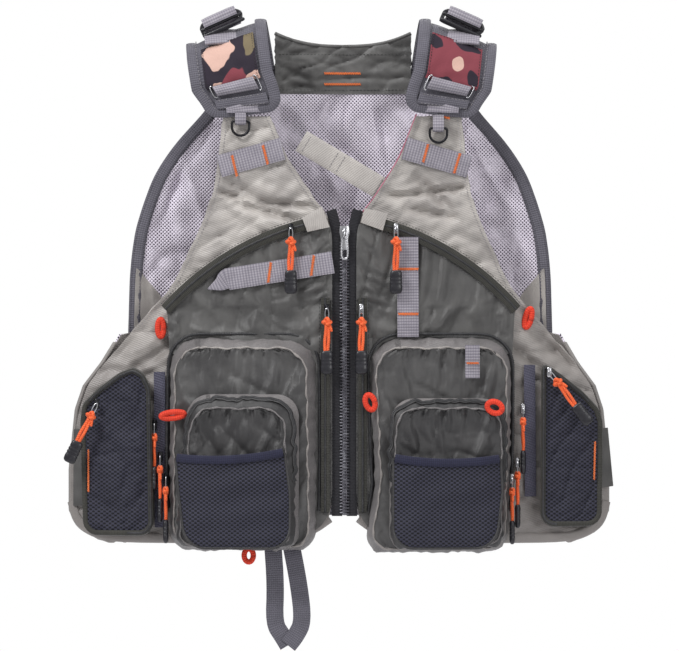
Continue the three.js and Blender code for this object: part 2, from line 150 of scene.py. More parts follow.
def ripples(x, z, size, seed, slant=None, waves=7):
    """Smooth noise of about -1 to 1 with this wavelength; slant, in degrees, is the way the folds run."""
    rng = np.random.default_rng(seed)
    total = np.zeros(np.broadcast(x, z).shape)
    for _ in range(waves):
        angle = rng.uniform(0, math.tau) if slant is None else math.radians(slant + 90 + rng.normal(0, 20))
        length = size * rng.uniform(0.7, 1.6)
        across = (x * math.cos(angle) + z * math.sin(angle)) / length
        down = x * math.sin(angle) - z * math.cos(angle)
        bend = 0.35 * np.sin(down / (1.7 * size) + rng.uniform(0, math.tau))
        total += np.sin(math.tau * (across + bend) + rng.uniform(0, math.tau))
    return total / math.sqrt(waves)


def folds(x, z, size, seed, slant=None):
    """Sharp valleys between soft swells, 0 to 1."""
    return np.clip(1 - abs(ripples(x, z, size, seed, slant)), 0, 1) ** 3


def crease(x, z, start, end, width):
    """A fold of 0 to 1 along the line from start to end, fading out at both."""
    (x0, z0), (x1, z1) = start, end
    length = math.hypot(x1 - x0, z1 - z0)
    ux, uz = (x1 - x0) / length, (z1 - z0) / length
    run = ((x - x0) * ux + (z - z0) * uz) / length
    off = (x - x0) * uz - (z - z0) * ux
    return np.exp(-((off / width) ** 2)) * np.clip(1 - abs(2 * run - 1) ** 3, 0, 1) * (abs(2 * run - 1) < 1)


# --------------------------------------------------- shells: (points, faces, cloth coordinates)
def quads(index):
    """Quads of a grid of point numbers."""
    return np.stack([index[:-1, :-1], index[:-1, 1:], index[1:, 1:], index[1:, :-1]], -1).reshape(-1, 4)


def normals_of(grid, facing=TOWARDS_FRONT, wrap=False):
    """Unit normals of a grid of points, on the side that faces this way on the whole."""
    if wrap:
        padded = np.concatenate([grid[:, -1:], grid, grid[:, :1]], 1)
        across = np.gradient(padded, axis=1)[:, 1:-1]
    else:
        across = np.gradient(grid, axis=1)
    found = unit(np.cross(across, np.gradient(grid, axis=0)))
    if facing is not None and (found * facing).sum() < 0:
        found = -found
    return found


def flat_coords(grid):
    """How far along and down a grid each point lies, in mm of cloth."""
    along_rows = np.linalg.norm(np.diff(grid, axis=1), axis=2).mean(0)
    down = np.linalg.norm(np.diff(grid, axis=0), axis=2).mean(1)
    a, b = np.meshgrid(np.append(0, np.cumsum(along_rows)), np.append(0, np.cumsum(down)))
    return np.stack([a, b], -1)


def between(front, back, coords=None, wrap=False):
    """A closed shell between two grids of points; wrap joins the last column to the first."""
    rows, cols = front.shape[:2]
    count = rows * cols
    index = np.arange(count).reshape(rows, cols)
    coords = flat_coords(front) if coords is None else coords
    if wrap:
        loops = [np.append(index[0], 0), np.append(index[-1], index[-1, 0])[::-1]]
        whole = np.hstack([index, index[:, :1]])
    else:
        loops = [np.concatenate([index[0], index[1:, -1], index[-1, -2::-1], index[-2::-1, 0]])]
        whole = index
    faces = [quads(whole), quads(whole + count)[:, ::-1]]
    faces += [np.stack([ring[1:], ring[:-1], ring[:-1] + count, ring[1:] + count], -1) for ring in loops]
    points = np.concatenate([front.reshape(-1, 3), back.reshape(-1, 3)])
    return facing_out(points, np.concatenate(faces).tolist(), np.tile(coords.reshape(-1, 2), (2, 1)))


def facing_out(points, faces, coords):
    """The shell with its faces turned outwards."""
    volume = 0.0
    for face in faces:
        a = points[face[0]]
        for i in range(1, len(face) - 1):
            volume += a @ np.cross(points[face[i]], points[face[i + 1]])
    if volume < 0:
        faces = [face[::-1] for face in faces]
    return points, faces, coords


def sheet(grid, thick=CLOTH, facing=TOWARDS_FRONT, coords=None, wrap=False):
    """Cloth whose visible face is this grid."""
    return between(grid, grid - normals_of(grid, facing, wrap) * thick, coords, wrap)


def resample(path, step):
    """Points every step mm or so along a line."""
    path = np.asarray(path, float)
    s = np.append(0, np.cumsum(np.linalg.norm(np.diff(path, axis=0), axis=1)))
    at = np.linspace(0, s[-1], max(2, int(round(s[-1] / step)) + 1))
    return np.stack([np.interp(at, s, path[:, k]) for k in range(path.shape[1])], -1)


def rounded(path, times=3):
    """A line with its corners cut, which rounds them."""
    path = np.asarray(path, float)
    for _ in range(times):
        cut = np.empty((2 * len(path) - 2, path.shape[1]))
        cut[0::2] = 0.75 * path[:-1] + 0.25 * path[1:]
        cut[1::2] = 0.25 * path[:-1] + 0.75 * path[1:]
        path = np.concatenate([path[:1], cut, path[-1:]])
    return path


def tube(path, wide, deep=None, sides=10, power=2.0, up=TOWARDS_FRONT, closed=False, turn=0.0):
    """A closed tube; wide and deep are its half sizes across and along up, for the path or each point."""
    path = np.asarray(path, float)
    count = len(path)
    wide = np.broadcast_to(wide, count)
    deep = wide if deep is None else np.broadcast_to(deep, count)
    if closed:
        tangents = unit(np.roll(path, -1, 0) - np.roll(path, 1, 0))
    else:
        tangents = unit(np.gradient(path, axis=0))
    up = np.broadcast_to(up, (count, 3))
    side = unit(np.cross(tangents, up))
    if np.linalg.norm(np.cross(tangents, up), axis=1).min() < 0.15:
        side = np.empty((count, 3))
        side[0] = unit(np.cross(tangents[0], [0.31, 0.87, 0.38]))
        for i in range(1, count):
            side[i] = unit(side[i - 1] - (side[i - 1] @ tangents[i]) * tangents[i])
    top = np.cross(side, tangents)
    angles = (np.arange(sides) + 0.5) / sides * math.tau + turn
    cos, sin = np.cos(angles), np.sin(angles)
    a = np.sign(cos) * abs(cos) ** (2 / power)
    b = np.sign(sin) * abs(sin) ** (2 / power)
    rings = (
        path[:, None]
        + side[:, None] * (a[None, :, None] * wide[:, None, None])
        + top[:, None] * (b[None, :, None] * deep[:, None, None])
    )
    index = np.arange(count * sides).reshape(count, sides)
    whole = np.hstack([index, index[:, :1]])
    if closed:
        whole = np.vstack([whole, whole[:1]])
    faces = quads(whole).tolist()
    if not closed:
        faces += [index[0][::-1].tolist(), index[-1].tolist()]
    run = np.append(0, np.cumsum(np.linalg.norm(np.diff(path, axis=0), axis=1)))
    girth = np.arange(sides) / sides * math.tau * float(wide.max())
    coords = np.stack(np.meshgrid(girth, run), -1)
    return facing_out(rings.reshape(-1, 3), faces, coords.reshape(-1, 2))


def domed(path, radius, **shape):
    """A round-ended tube."""
    path = np.asarray(path, float)
    first, last = unit(path[0] - path[1]), unit(path[-1] - path[-2])
    ends = [(0.95, 0.35), (0.7, 0.72), (0.35, 0.94)]
    head = [path[0] + first * radius * d for d, _ in ends]
    tail = [path[-1] + last * radius * d for d, _ in ends[::-1]]
    sizes = [r * radius for _, r in ends] + [radius] * len(path) + [r * radius for _, r in ends[::-1]]
    return tube(np.array([*head, *path, *tail]), np.array(sizes), **shape)


def ribbon(path, normals, width, thick=1.6, across=6, crown=0.0, closed=False, edge=0.35):
    """Flat tape along a path that lies on a surface; its inner face is on the path."""
    path = np.asarray(path, float)
    normals = np.broadcast_to(normals, path.shape)
    if closed:
        tangents = unit(np.roll(path, -1, 0) - np.roll(path, 1, 0))
    else:
        tangents = unit(np.gradient(path, axis=0))
    side = unit(np.cross(tangents, normals))
    width = np.broadcast_to(width, len(path))[:, None, None]
    b = np.linspace(-1, 1, across + 1)
    rise = thick * (1 - edge * b**6) + crown * (1 - b**2)
    base = path[:, None] + side[:, None] * (b[None, :, None] * width / 2)
    top = base + normals[:, None] * rise[None, :, None]
    run = np.append(0, np.cumsum(np.linalg.norm(np.diff(path, axis=0), axis=1)))
    coords = np.stack(np.meshgrid(b * float(width.max()) / 2, run), -1)
    if closed:
        top, base, coords = (np.concatenate([g, g[:1]]) for g in (top, base, coords))
    return between(top, base, coords)


def on_surface(points, lift=0.0, base=front_at, step=2.0, smooth=0):
    """A path through (x, z) points, lifted off the surface y = base(x, z), and the normals along it."""
    flat = np.asarray(points, float)
    flat = resample(rounded(flat, smooth) if smooth else flat, step)
    x, z = flat[:, 0], flat[:, 1]
    near = 2.0
    slope_x = (base(x + near, z) - base(x - near, z)) / (2 * near)
    slope_z = (base(x, z + near) - base(x, z - near)) / (2 * near)
    normals = unit(np.stack([slope_x, -np.ones_like(x), slope_z], -1))
    return np.stack([x, base(x, z), z], -1) + normals * lift, normals


def outwards(base, depth):
    """The surface that lies depth mm in front of another."""
    return lambda x, z: base(x, z) - (depth(x, z) if callable(depth) else depth)


def stitches(path, normals, pitch=3.6, length=2.3, radius=0.32, lift=0.15):
    """A row of sewn stitches along a path."""
    path = np.asarray(path, float)
    normals = np.broadcast_to(normals, path.shape)
    s = np.append(0, np.cumsum(np.linalg.norm(np.diff(path, axis=0), axis=1)))
    shells = []
    for start in np.arange(pitch / 2, s[-1] - length, pitch):
        at = start + length * np.array([0, 0.25, 0.75, 1])
        line = np.stack([np.interp(at, s, path[:, k] + normals[:, k] * lift) for k in range(3)], -1)
        shells.append(tube(line, radius * np.array([0.35, 1, 1, 0.35]), sides=5))
    return shells


def tack(start, end, base, lift, width=2.6, thick=0.55, pitch=0.9):
    """A bar tack: close zigzag thread between two (x, z) points."""
    start, end = np.array(start, float), np.array(end, float)
    length = np.linalg.norm(end - start)
    count = max(4, int(length / pitch))
    along_it = (end - start) / length
    across = np.array([-along_it[1], along_it[0]])
    flat = [start + along_it * length * i / count + across * width / 2 * (-1) ** i for i in range(count + 1)]
    path, _ = on_surface(flat, lift, base, step=0.45)
    return tube(path, thick, 0.4, sides=6)


def coil(path, radius=1.15, pitch=1.5):
    """The ribbed coil of a closed zip."""
    path = resample(path, pitch / 4)
    phase = np.arange(len(path)) / 4
    return tube(path, radius * (1 + 0.3 * np.cos(math.tau * phase)), radius * 0.8, sides=8)


# ------------------------------------------------------------------ paint
def srgb(*levels):
    """Linear colour of 0-255 screen levels."""
    values = [c / 255 for c in levels]
    return tuple(c / 12.92 if c <= 0.04045 else ((c + 0.055) / 1.055) ** 2.4 for c in values) + (1.0,)


class Paint:
    """One procedural material."""

    def __init__(self, name, rough, metal=0.0, sheen=0.0, coat=0.0, specular=0.5):
        self.material = bpy.data.materials.new(name)
        self.material.use_nodes = True
        self.tree = self.material.node_tree
        self.shader = self.tree.nodes["Principled BSDF"]
        sockets = {
            "Roughness": rough, "Metallic": metal, "Sheen Weight": sheen, "Coat Weight": coat,
            "Specular IOR Level": specular,
        }
        for socket, value in sockets.items():
            self.shader.inputs[socket].default_value = value
        self.cloth = self.node("ShaderNodeAttribute", attribute_name="cloth").outputs["Vector"]
        self.place = self.node("ShaderNodeTexCoord").outputs["Object"]

    def node(self, kind, inputs=(), **settings):
        made = self.tree.nodes.new(kind)
        for key, value in settings.items():
            setattr(made, key, value)
        for key, value in dict(inputs).items():
            if isinstance(value, bpy.types.NodeSocket):
                self.tree.links.new(value, made.inputs[key])
            else:
                made.inputs[key].default_value = value
        return made

    def math(self, operation, a, b=0.0, c=0.0):
        return self.node("ShaderNodeMath", {0: a, 1: b, 2: c}, operation=operation).outputs[0]

    def wave(self, angle, pitch, sharp=0.0):
        """Ribs across this direction of the cloth, 0 to 1, pitch mm apart."""
        step = math.tau / (pitch * MM)
        way = (math.cos(math.radians(angle)) * step, math.sin(math.radians(angle)) * step, 0)
        dot = self.node("ShaderNodeVectorMath", {0: self.cloth, 1: way}, operation="DOT_PRODUCT")
        wave = self.math("MULTIPLY_ADD", self.math("SINE", dot.outputs["Value"]), 0.5, 0.5)
        return self.math("POWER", wave, sharp) if sharp else wave

    def noise(self, size, detail=2.0, rough=0.5, cloth=False):
        """Noise of about 0 to 1 with features size mm across."""
        inputs = {"Vector": self.cloth if cloth else self.place, "Scale": 1 / (size * MM), "Detail": detail,
                  "Roughness": rough}
        return self.node("ShaderNodeTexNoise", inputs).outputs["Fac"]

    def ramp(self, value, low, high):
        inputs = {"Value": value, "From Min": low, "From Max": high}
        return self.node("ShaderNodeMapRange", inputs, interpolation_type="SMOOTHSTEP").outputs["Result"]

    def mix(self, amount, a, b):
        made = self.node("ShaderNodeMix", {0: amount, 6: a, 7: b}, data_type="RGBA")
        return made.outputs[2]

    def finish(self, colour, height=None, depth=0.3, strength=0.6, rough=None):
        """Sets the colour, a bump of this depth in mm, and a roughness that varies."""
        self.tree.links.new(colour, self.shader.inputs["Base Color"])
        if rough is not None:
            self.tree.links.new(rough, self.shader.inputs["Roughness"])
        if height is not None:
            sockets = {"Height": height, "Distance": depth * MM, "Strength": strength}
            bump = self.node("ShaderNodeBump", sockets)
            self.tree.links.new(bump.outputs["Normal"], self.shader.inputs["Normal"])
        return self.material


def ripstop(name, light, dark, lower=1.0):
    """Pale twill cloth, its tone falling below the chest to this share of the darker colour: painted shade on
    the lower front.
    """
    p = Paint(name, 0.4, sheen=0.1, specular=0.5)
    twill = p.wave(68, 2.1, 1.6)
    fine = p.wave(-20, 1.3)
    tone = p.mix(p.ramp(p.noise(38, 3), 0.32, 0.68), light, dark)
    tone = p.mix(p.math("MULTIPLY", twill, 0.38), tone, tuple(c * 0.55 for c in dark[:3]) + (1,))
    tone = p.mix(p.math("MULTIPLY", p.noise(1.2, 1), 0.16), tone, srgb(235, 232, 226))
    # Painted shade: from z -250 to -350 mm the cloth darkens, standing in for the shade on the lower front.
    if lower < 1:
        up = p.node("ShaderNodeSeparateXYZ", {0: p.place}).outputs["Z"]
        tone = p.mix(p.ramp(up, -250 * MM, -350 * MM), tone, tuple(c * lower for c in dark[:3]) + (1,))
    height = p.math("ADD", p.math("MULTIPLY", twill, -0.7), p.math("MULTIPLY", fine, 0.3))
    height = p.math("ADD", height, p.math("MULTIPLY", p.noise(12, 2), 3.0))
    return p.finish(tone, height, 0.3, 0.7)


def satin(name, light, dark):
    p = Paint(name, 0.42, sheen=0.06, specular=0.5)
    thread = p.wave(90, 1.0)
    slub = p.noise(2.2, 3, 0.6, cloth=True)
    tone = p.mix(p.ramp(p.noise(30), 0.3, 0.7), light, dark)
    tone = p.mix(p.math("MULTIPLY", slub, 0.25), tone, tuple(c * 1.5 for c in light[:3]) + (1,))
    streaks = p.node("ShaderNodeVectorMath", {0: p.place, 1: (1, 1, 0.2)}, operation="MULTIPLY")
    inputs = {"Vector": streaks.outputs["Vector"], "Scale": 1 / (9 * MM), "Detail": 2.0}
    streaks = p.node("ShaderNodeTexNoise", inputs).outputs["Fac"]
    height = p.math("ADD", p.math("MULTIPLY", thread, 0.3), p.math("MULTIPLY", p.noise(14, 3), 1.6))
    height = p.math("ADD", height, p.math("MULTIPLY", streaks, 2.6))
    return p.finish(tone, height, 0.5, 0.6)


def net(name, thread, painted_hole_shade, across, down, size, shine=0.0, mottle=True):
    """Net whose holes are a diamond array, painted dark: painted shade seen in and through the holes."""
    p = Paint(name, 0.7, sheen=shine, specular=0.3)
    step = math.tau / MM
    a = p.node("ShaderNodeVectorMath", {0: p.cloth, 1: (step / across, 0, 0)}, operation="DOT_PRODUCT")
    b = p.node("ShaderNodeVectorMath", {0: p.cloth, 1: (0, step / down, 0)}, operation="DOT_PRODUCT")
    cells = p.math("MULTIPLY", p.math("COSINE", a.outputs["Value"]), p.math("COSINE", b.outputs["Value"]))
    open_part = p.ramp(cells, size, size + 0.35)
    if mottle:
        mottle = p.math("MULTIPLY_ADD", p.ramp(p.noise(26, 2), 0.3, 0.5), 0.7, 0.3)
        open_part = p.math("MULTIPLY", open_part, mottle)
    tone = p.mix(p.math("MULTIPLY", p.noise(60), 0.35), thread, tuple(c * 0.75 for c in thread[:3]) + (1,))
    # The holes take a dark colour: painted shade in the openings.
    return p.finish(p.mix(open_part, tone, painted_hole_shade), p.math("MULTIPLY", cells, -1.0), 0.5, 0.8)


def ribbed(name, base, dark, angle, pitch, rough=0.7, second=None):
    """Woven tape: ribs across it, and finer threads the other way."""
    p = Paint(name, rough, sheen=0.1, specular=0.3)
    rib = p.wave(angle, pitch)
    thread = p.wave(angle + 90, second or pitch * 0.9)
    tone = p.mix(p.ramp(p.noise(14, 3), 0.3, 0.75), base, tuple(c * 0.8 for c in base[:3]) + (1,))
    tone = p.mix(p.math("MULTIPLY", p.math("POWER", rib, 1.4), 0.5), tone, dark)
    tone = p.mix(p.math("MULTIPLY", p.math("POWER", thread, 2.0), 0.35), tone, dark)
    height = p.math("ADD", p.math("MULTIPLY", rib, -1.0), p.math("MULTIPLY", thread, 0.45))
    return p.finish(tone, height, 0.35, 0.8)


def hard(name, colour, rough, worn_and_highlit, metal=0.0, coat=0.0):
    """Moulded plastic or plated metal, with fine marks and patches of a second tone: rubbed wear, and on the
    zip teeth painted highlights.
    """
    p = Paint(name, rough, metal=metal, coat=coat)
    # Patches of the second tone: rubbed wear; on the zip teeth these pale patches are painted highlights.
    rubbed_and_highlit = p.ramp(p.noise(6, 4, 0.6), 0.45, 0.75)
    tone = p.mix(p.math("MULTIPLY", rubbed_and_highlit, 0.4), colour, worn_and_highlit)
    varied = p.math("MULTIPLY_ADD", p.noise(3, 3), 0.22, rough - 0.08)
    return p.finish(tone, p.noise(0.9, 2), 0.05, 0.35, rough=varied)


def camouflage(name, ground, blots):
    """Printed blotches: each is a wobbly ellipse of (across, down, half width, half height, colour) in mm."""
    p = Paint(name, 0.85, specular=0.2)
    wobble = p.node("ShaderNodeTexNoise", {"Vector": p.cloth, "Scale": 1 / (13 * MM), "Detail": 1.0})
    tone = ground
    for across, down, wide, high, colour in blots:
        inputs = {0: p.cloth, 1: (-across * MM, -down * MM, 0)}
        moved = p.node("ShaderNodeVectorMath", inputs, operation="ADD").outputs["Vector"]
        inputs = {0: moved, 1: (1 / (wide * MM), 1 / (high * MM), 0)}
        scaled = p.node("ShaderNodeVectorMath", inputs, operation="MULTIPLY").outputs["Vector"]
        radius = p.node("ShaderNodeVectorMath", {0: scaled}, operation="LENGTH").outputs["Value"]
        radius = p.math("MULTIPLY_ADD", wobble.outputs["Fac"], 1.3, radius)
        tone = p.mix(p.ramp(radius, 1.68, 1.6), tone, colour)
    weave = p.math("ADD", p.wave(0, 0.9), p.wave(90, 0.9))
    speck = p.math("MULTIPLY", p.noise(0.8, 1), 0.22)
    return p.finish(p.mix(speck, tone, srgb(60, 50, 52)), weave, 0.15, 0.5)


PEACH, MAROON = srgb(222, 184, 170), srgb(140, 70, 80)
NAVY, OLIVE = srgb(50, 45, 56), srgb(128, 116, 92)
CAMO_L = [(10, 29, 15, 11, PEACH), (14, 4, 6, 6, PEACH), (-23, 31, 8, 11, OLIVE), (-4, 6, 14, 9, MAROON),
          (-21, 5, 9, 6, PEACH)]
CAMO_R = [(-22, 30, 9, 5, NAVY), (12, 34, 13, 4, NAVY), (20, 12, 6, 5, NAVY), (-8, 6, 7, 3.5, NAVY),
          (3, 19, 6, 5, PEACH)]
LOOKS = {
    # The pale ripstop carries painted shade below the chest (0.78 of its darker colour).
    "light": (ripstop("pale_ripstop", srgb(190, 184, 179), srgb(158, 152, 149), 0.78), "light_cloth"),
    # The shade look is the pale ripstop painted darker: a shaded copy of the same cloth.
    "shade": (ripstop("shaded_grey_ripstop", srgb(158, 152, 153), srgb(126, 121, 123)), "light_cloth"),
    # The gusset look is the pale ripstop painted darker: painted shade on the recessed side walls of the
    # bags.
    "gusset": (ripstop("shaded_gusset_ripstop", srgb(112, 107, 109), srgb(84, 80, 83)), "light_cloth"),
    "dark": (satin("dark_satin", srgb(90, 89, 88), srgb(64, 63, 63)), "dark_cloth"),
    "bag": (satin("bag_satin", srgb(78, 77, 77), srgb(56, 55, 56)), "dark_cloth"),
    "deep": (satin("deep_satin", srgb(56, 55, 56), srgb(40, 39, 41)), "dark_cloth"),
    # The second colour of each net is painted shade in its holes.
    "mesh": (net("lilac_mesh", srgb(246, 238, 252), srgb(72, 64, 80), 3.7, 3.7, 0.14), "back_mesh"),
    "navy": (net("navy_mesh", srgb(58, 58, 74), srgb(12, 12, 19), 5.6, 4.0, -0.1, 0.1, False), "navy_mesh"),
    "binding": (ribbed("grey_binding", srgb(112, 110, 120), srgb(66, 64, 72), 90, 2.2), "binding"),
    "navy_tape": (ribbed("navy_binding", srgb(46, 47, 72), srgb(22, 23, 40), 90, 2.0), "binding"),
    "heather": (ribbed("heather_strip", srgb(98, 97, 114), srgb(58, 57, 74), 70, 2.4), "binding"),
    "webbing": (ribbed("grey_webbing", srgb(172, 167, 176), srgb(86, 82, 98), 90, 2.9, 0.7, 2.5), "webbing"),
    "camo_l": (camouflage("printed_patch", NAVY, CAMO_L), "camo_cloth"),
    "camo_r": (camouflage("printed_patch_red", MAROON, CAMO_R), "camo_cloth"),
    "tape": (ribbed("black_zip_tape", srgb(46, 45, 50), srgb(20, 20, 26), 90, 1.5), "zip_tape"),
    "band": (ribbed("olive_zip_band", srgb(70, 69, 64), srgb(40, 40, 38), 90, 1.6), "zip_tape"),
    # The teeth's pale second tone is painted highlight on the zigzag.
    "teeth": (hard("zip_teeth", srgb(66, 65, 72), 0.35, srgb(168, 168, 176), metal=0.5), "zip_teeth"),
    "coil": (hard("zip_coil", srgb(40, 40, 43), 0.4, srgb(80, 80, 82)), "zip_teeth"),
    "plastic": (hard("black_plastic", srgb(27, 26, 33), 0.36, srgb(52, 51, 58), coat=0.15), "buckle_plastic"),
    "cord": (ribbed("orange_cord", srgb(255, 122, 66), srgb(236, 70, 34), 60, 2.0, 0.55), "pull_cord"),
    "loop": (ribbed("red_orange_loop", srgb(250, 76, 48), srgb(196, 36, 22), 90, 2.2, 0.6), "pull_cord"),
    "thread": (ribbed("orange_thread", srgb(255, 140, 76), srgb(226, 88, 36), 90, 0.8, 0.6), "pull_cord"),
    "pink": (ribbed("pink_piping", srgb(206, 130, 150), srgb(150, 70, 100), 90, 1.4, 0.6), "light_cloth"),
    "pale_thread": (ribbed("pale_thread", srgb(176, 172, 176), srgb(120, 116, 122), 90, 0.8, 0.6), "webbing"),
    "dark_thread": (ribbed("dark_thread", srgb(48, 47, 48), srgb(30, 30, 32), 90, 0.8, 0.6), "dark_cloth"),
    "metal": (hard("nickel", srgb(196, 196, 200), 0.24, srgb(140, 140, 146), metal=1.0), "slider_metal"),
    "black_metal": (hard("black_wire", srgb(34, 34, 38), 0.3, srgb(86, 86, 90), metal=0.7), "ring_black"),
}


def piece(name, shells, look, body=None, replaces=()):
    """Makes one object of these shells, in its material, on its body."""
    points, faces, coords, first = [], [], [], 0
    for shell_points, shell_faces, shell_coords in shells:
        points.append(shell_points)
        coords.append(shell_coords)
        faces += [[i + first for i in face] for face in shell_faces]
        first += len(shell_points)
    mesh = bpy.data.meshes.new(name)
    mesh.from_pydata((np.concatenate(points) * MM).tolist(), [], faces)
    cloth = np.zeros((first, 3), np.float32)
    cloth[:, :2] = np.concatenate(coords) * MM
    mesh.attributes.new("cloth", "FLOAT_VECTOR", "POINT").data.foreach_set("vector", cloth.ravel())
    mesh.shade_smooth()
    mesh.set_sharp_from_angle(angle=math.radians(50))
    made = bpy.data.objects.new(name, mesh)
    bpy.context.scene.collection.objects.link(made)
    material, slot = LOOKS[look]
    mesh.materials.append(material)
    if body:
        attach(made, body)
    if replaces:
        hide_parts(*replaces)
    return made


# ------------------------------------------------------------------ camera, light and floor
def set_stage():
    FRAME_WIDTH = 0.679  # width of what the picture shows, at the front of the vest
    DISTANCE = 5.5
    SENSOR = 36
    scene = bpy.context.scene
    camera = bpy.data.objects.new("camera", bpy.data.cameras.new("camera"))
    scene.collection.objects.link(camera)
    camera.location = (-0.0025, FRONT_Y * MM - DISTANCE, -0.2835)
    camera.rotation_euler = (math.radians(90), 0, 0)
    camera.data.sensor_width = SENSOR
    camera.data.lens = SENSOR * DISTANCE / FRAME_WIDTH
    camera.data.clip_end = 50
    scene.camera = camera
    scene.view_settings.view_transform = "Standard"

    lamps = [  # place, size, watts
        ((-1.7, -1.9, 1.9), 0.9, 62),
        ((1.6, -3.0, 0.4), 1.4, 24),
        ((0.3, 2.6, 1.3), 1.6, 30),
        ((0.2, -0.7, 2.2), 1.2, 24),
    ]
    for place, size, watts in lamps:
        light = bpy.data.lights.new("lamp", "AREA")
        light.size = size
        light.energy = watts
        lamp = bpy.data.objects.new("lamp", light)
        scene.collection.objects.link(lamp)
        lamp.location = place
        aim = np.array([0, 0, -0.28]) - np.array(place)
        lamp.rotation_euler = lamp_rotation(aim)

    world = bpy.data.worlds.new("studio")
    scene.world = world
    world.use_nodes = True
    nodes, links = world.node_tree.nodes, world.node_tree.links
    soft = nodes["Background"]
    soft.inputs["Color"].default_value = (1, 1, 1, 1)
    soft.inputs["Strength"].default_value = 0.40
    white = nodes.new("ShaderNodeBackground")
    white.inputs["Strength"].default_value = 1.0
    white.inputs["Color"].default_value = (1, 1, 1, 1)
    mix = nodes.new("ShaderNodeMixShader")
    links.new(nodes.new("ShaderNodeLightPath").outputs["Is Camera Ray"], mix.inputs[0])
    links.new(soft.outputs[0], mix.inputs[1])
    links.new(white.outputs[0], mix.inputs[2])
    links.new(mix.outputs[0], nodes["World Output"].inputs["Surface"])

    bpy.ops.mesh.primitive_circle_add(vertices=96, radius=0.8, fill_type="NGON", location=(0, 0, -0.72))
    floor = bpy.context.object
    floor.name = "floor"
    paint = Paint("pale_floor", 0.8)
    floor.data.materials.append(
        paint.finish(paint.mix(paint.noise(60, 3), srgb(236, 236, 238), srgb(228, 228, 231)))
    )


def lamp_rotation(aim):
    """Rotation that points a lamp's -Z along aim."""
    flat = math.hypot(aim[0], aim[1])
    return (math.atan2(flat, -aim[2]), 0, math.atan2(-aim[0], aim[1]))


# ------------------------------------------------------------------ cloth simulation
FRAMES = 22
settling = {}


def to_settle(name, grid, pressure=2.0, slack=0.04, facing=TOWARDS_FRONT):
    """Puts a grid of cloth on the list; its edge is sewn down, and slack is how much too large it is cut."""
    settling[name] = (grid, pressure, slack, facing)


def settle():
    """Lets the listed cloths swell and crumple together, and returns how far each point moved, in mm."""
    scene = bpy.context.scene
    made = {}
    for name, (grid, pressure, slack, facing) in settling.items():
        rows, cols = grid.shape[:2]
        index = np.arange(rows * cols).reshape(rows, cols)
        faces = quads(index)
        points = grid.reshape(-1, 3)
        a, b, c = (points[faces[:, k]] for k in range(3))
        if (np.cross(b - a, c - a) * facing).sum() < 0:
            faces = faces[:, ::-1]
        mesh = bpy.data.meshes.new("settling")
        mesh.from_pydata((points * MM).tolist(), [], faces.tolist())
        cloth = bpy.data.objects.new("settling", mesh)
        scene.collection.objects.link(cloth)
        edge = np.unique(np.concatenate([index[0], index[-1], index[:, 0], index[:, -1]]))
        cloth.vertex_groups.new(name="sewn").add(edge.tolist(), 1.0, "REPLACE")
        modifier = cloth.modifiers.new("settle", "CLOTH")
        setting = modifier.settings
        setting.quality = 5
        setting.mass = 0.25
        setting.tension_stiffness = 20
        setting.compression_stiffness = 20
        setting.shear_stiffness = 8
        setting.bending_stiffness = 0.12
        setting.air_damping = 3
        setting.vertex_group_mass = "sewn"
        setting.shrink_min = -slack
        setting.use_pressure = True
        setting.uniform_pressure_force = pressure
        setting.effector_weights.gravity = 0.15
        modifier.collision_settings.use_collision = False
        modifier.point_cache.frame_end = FRAMES
        made[name] = cloth
    for number in range(1, FRAMES + 1):
        scene.frame_set(number)
    graph = bpy.context.evaluated_depsgraph_get()
    moved = {}
    for name, cloth in made.items():
        grid = settling[name][0]
        found = np.zeros(grid.size, np.float32)
        cloth.evaluated_get(graph).data.vertices.foreach_get("co", found)
        moved[name] = found.reshape(grid.shape) / MM - grid
        bpy.data.objects.remove(cloth)
    scene.frame_set(1)
    return moved


def soft_cap(value, low, high):
    """Value held between low and high without a hard corner."""
    middle, half = (high + low) / 2, (high - low) / 2
    return middle + half * np.tanh((value - middle) / half)


# ------------------------------------------------------------------ bag pockets
def end_rows(top, bottom, corner_top, corner_bottom, count):
    """Row heights: close together round the corners, even between them."""
    turn = np.linspace(0, math.pi / 2, 9)
    upper = top - corner_top * (1 - np.cos(turn))
    lower = bottom + corner_bottom * (1 - np.cos(turn))
    return np.concatenate([upper, np.linspace(upper[-1], lower[-1], count + 1)[1:-1], lower[::-1]])


def outline_grid(left, right, top, bottom, corners, cols=52, rows=58):
    """x and z of a grid that fills a shape with round corners; left and right are lists of (z, x)."""
    corner_top, corner_bottom = corners
    z = end_rows(top, bottom, corner_top, corner_bottom, rows)
    inset = np.zeros_like(z)
    for corner, gap in ((corner_top, top - z), (corner_bottom, z - bottom)):
        short = np.clip(corner - gap, 0, corner)
        inset += corner - np.sqrt(np.maximum(corner**2 - short**2, 0))
    low, high = along(left, z) + inset, along(right, z) - inset
    t = np.linspace(0, 1, cols)
    x = low[:, None] + (high - low)[:, None] * t[None]
    return x, np.repeat(z[:, None], cols, 1)


def edge_of(grid):
    """The points round a grid, once round."""
    return np.concatenate([grid[0], grid[1:, -1], grid[-1, -2::-1], grid[-2:0:-1, 0]])


def edge_distance(grid):
    """How far each point of a grid is from its edge, in x and z."""
    flat = grid[:, :, [0, 2]]
    ring = edge_of(flat)
    return np.sqrt(((flat[:, :, None] - ring[None, None]) ** 2).sum(-1)).min(-1)


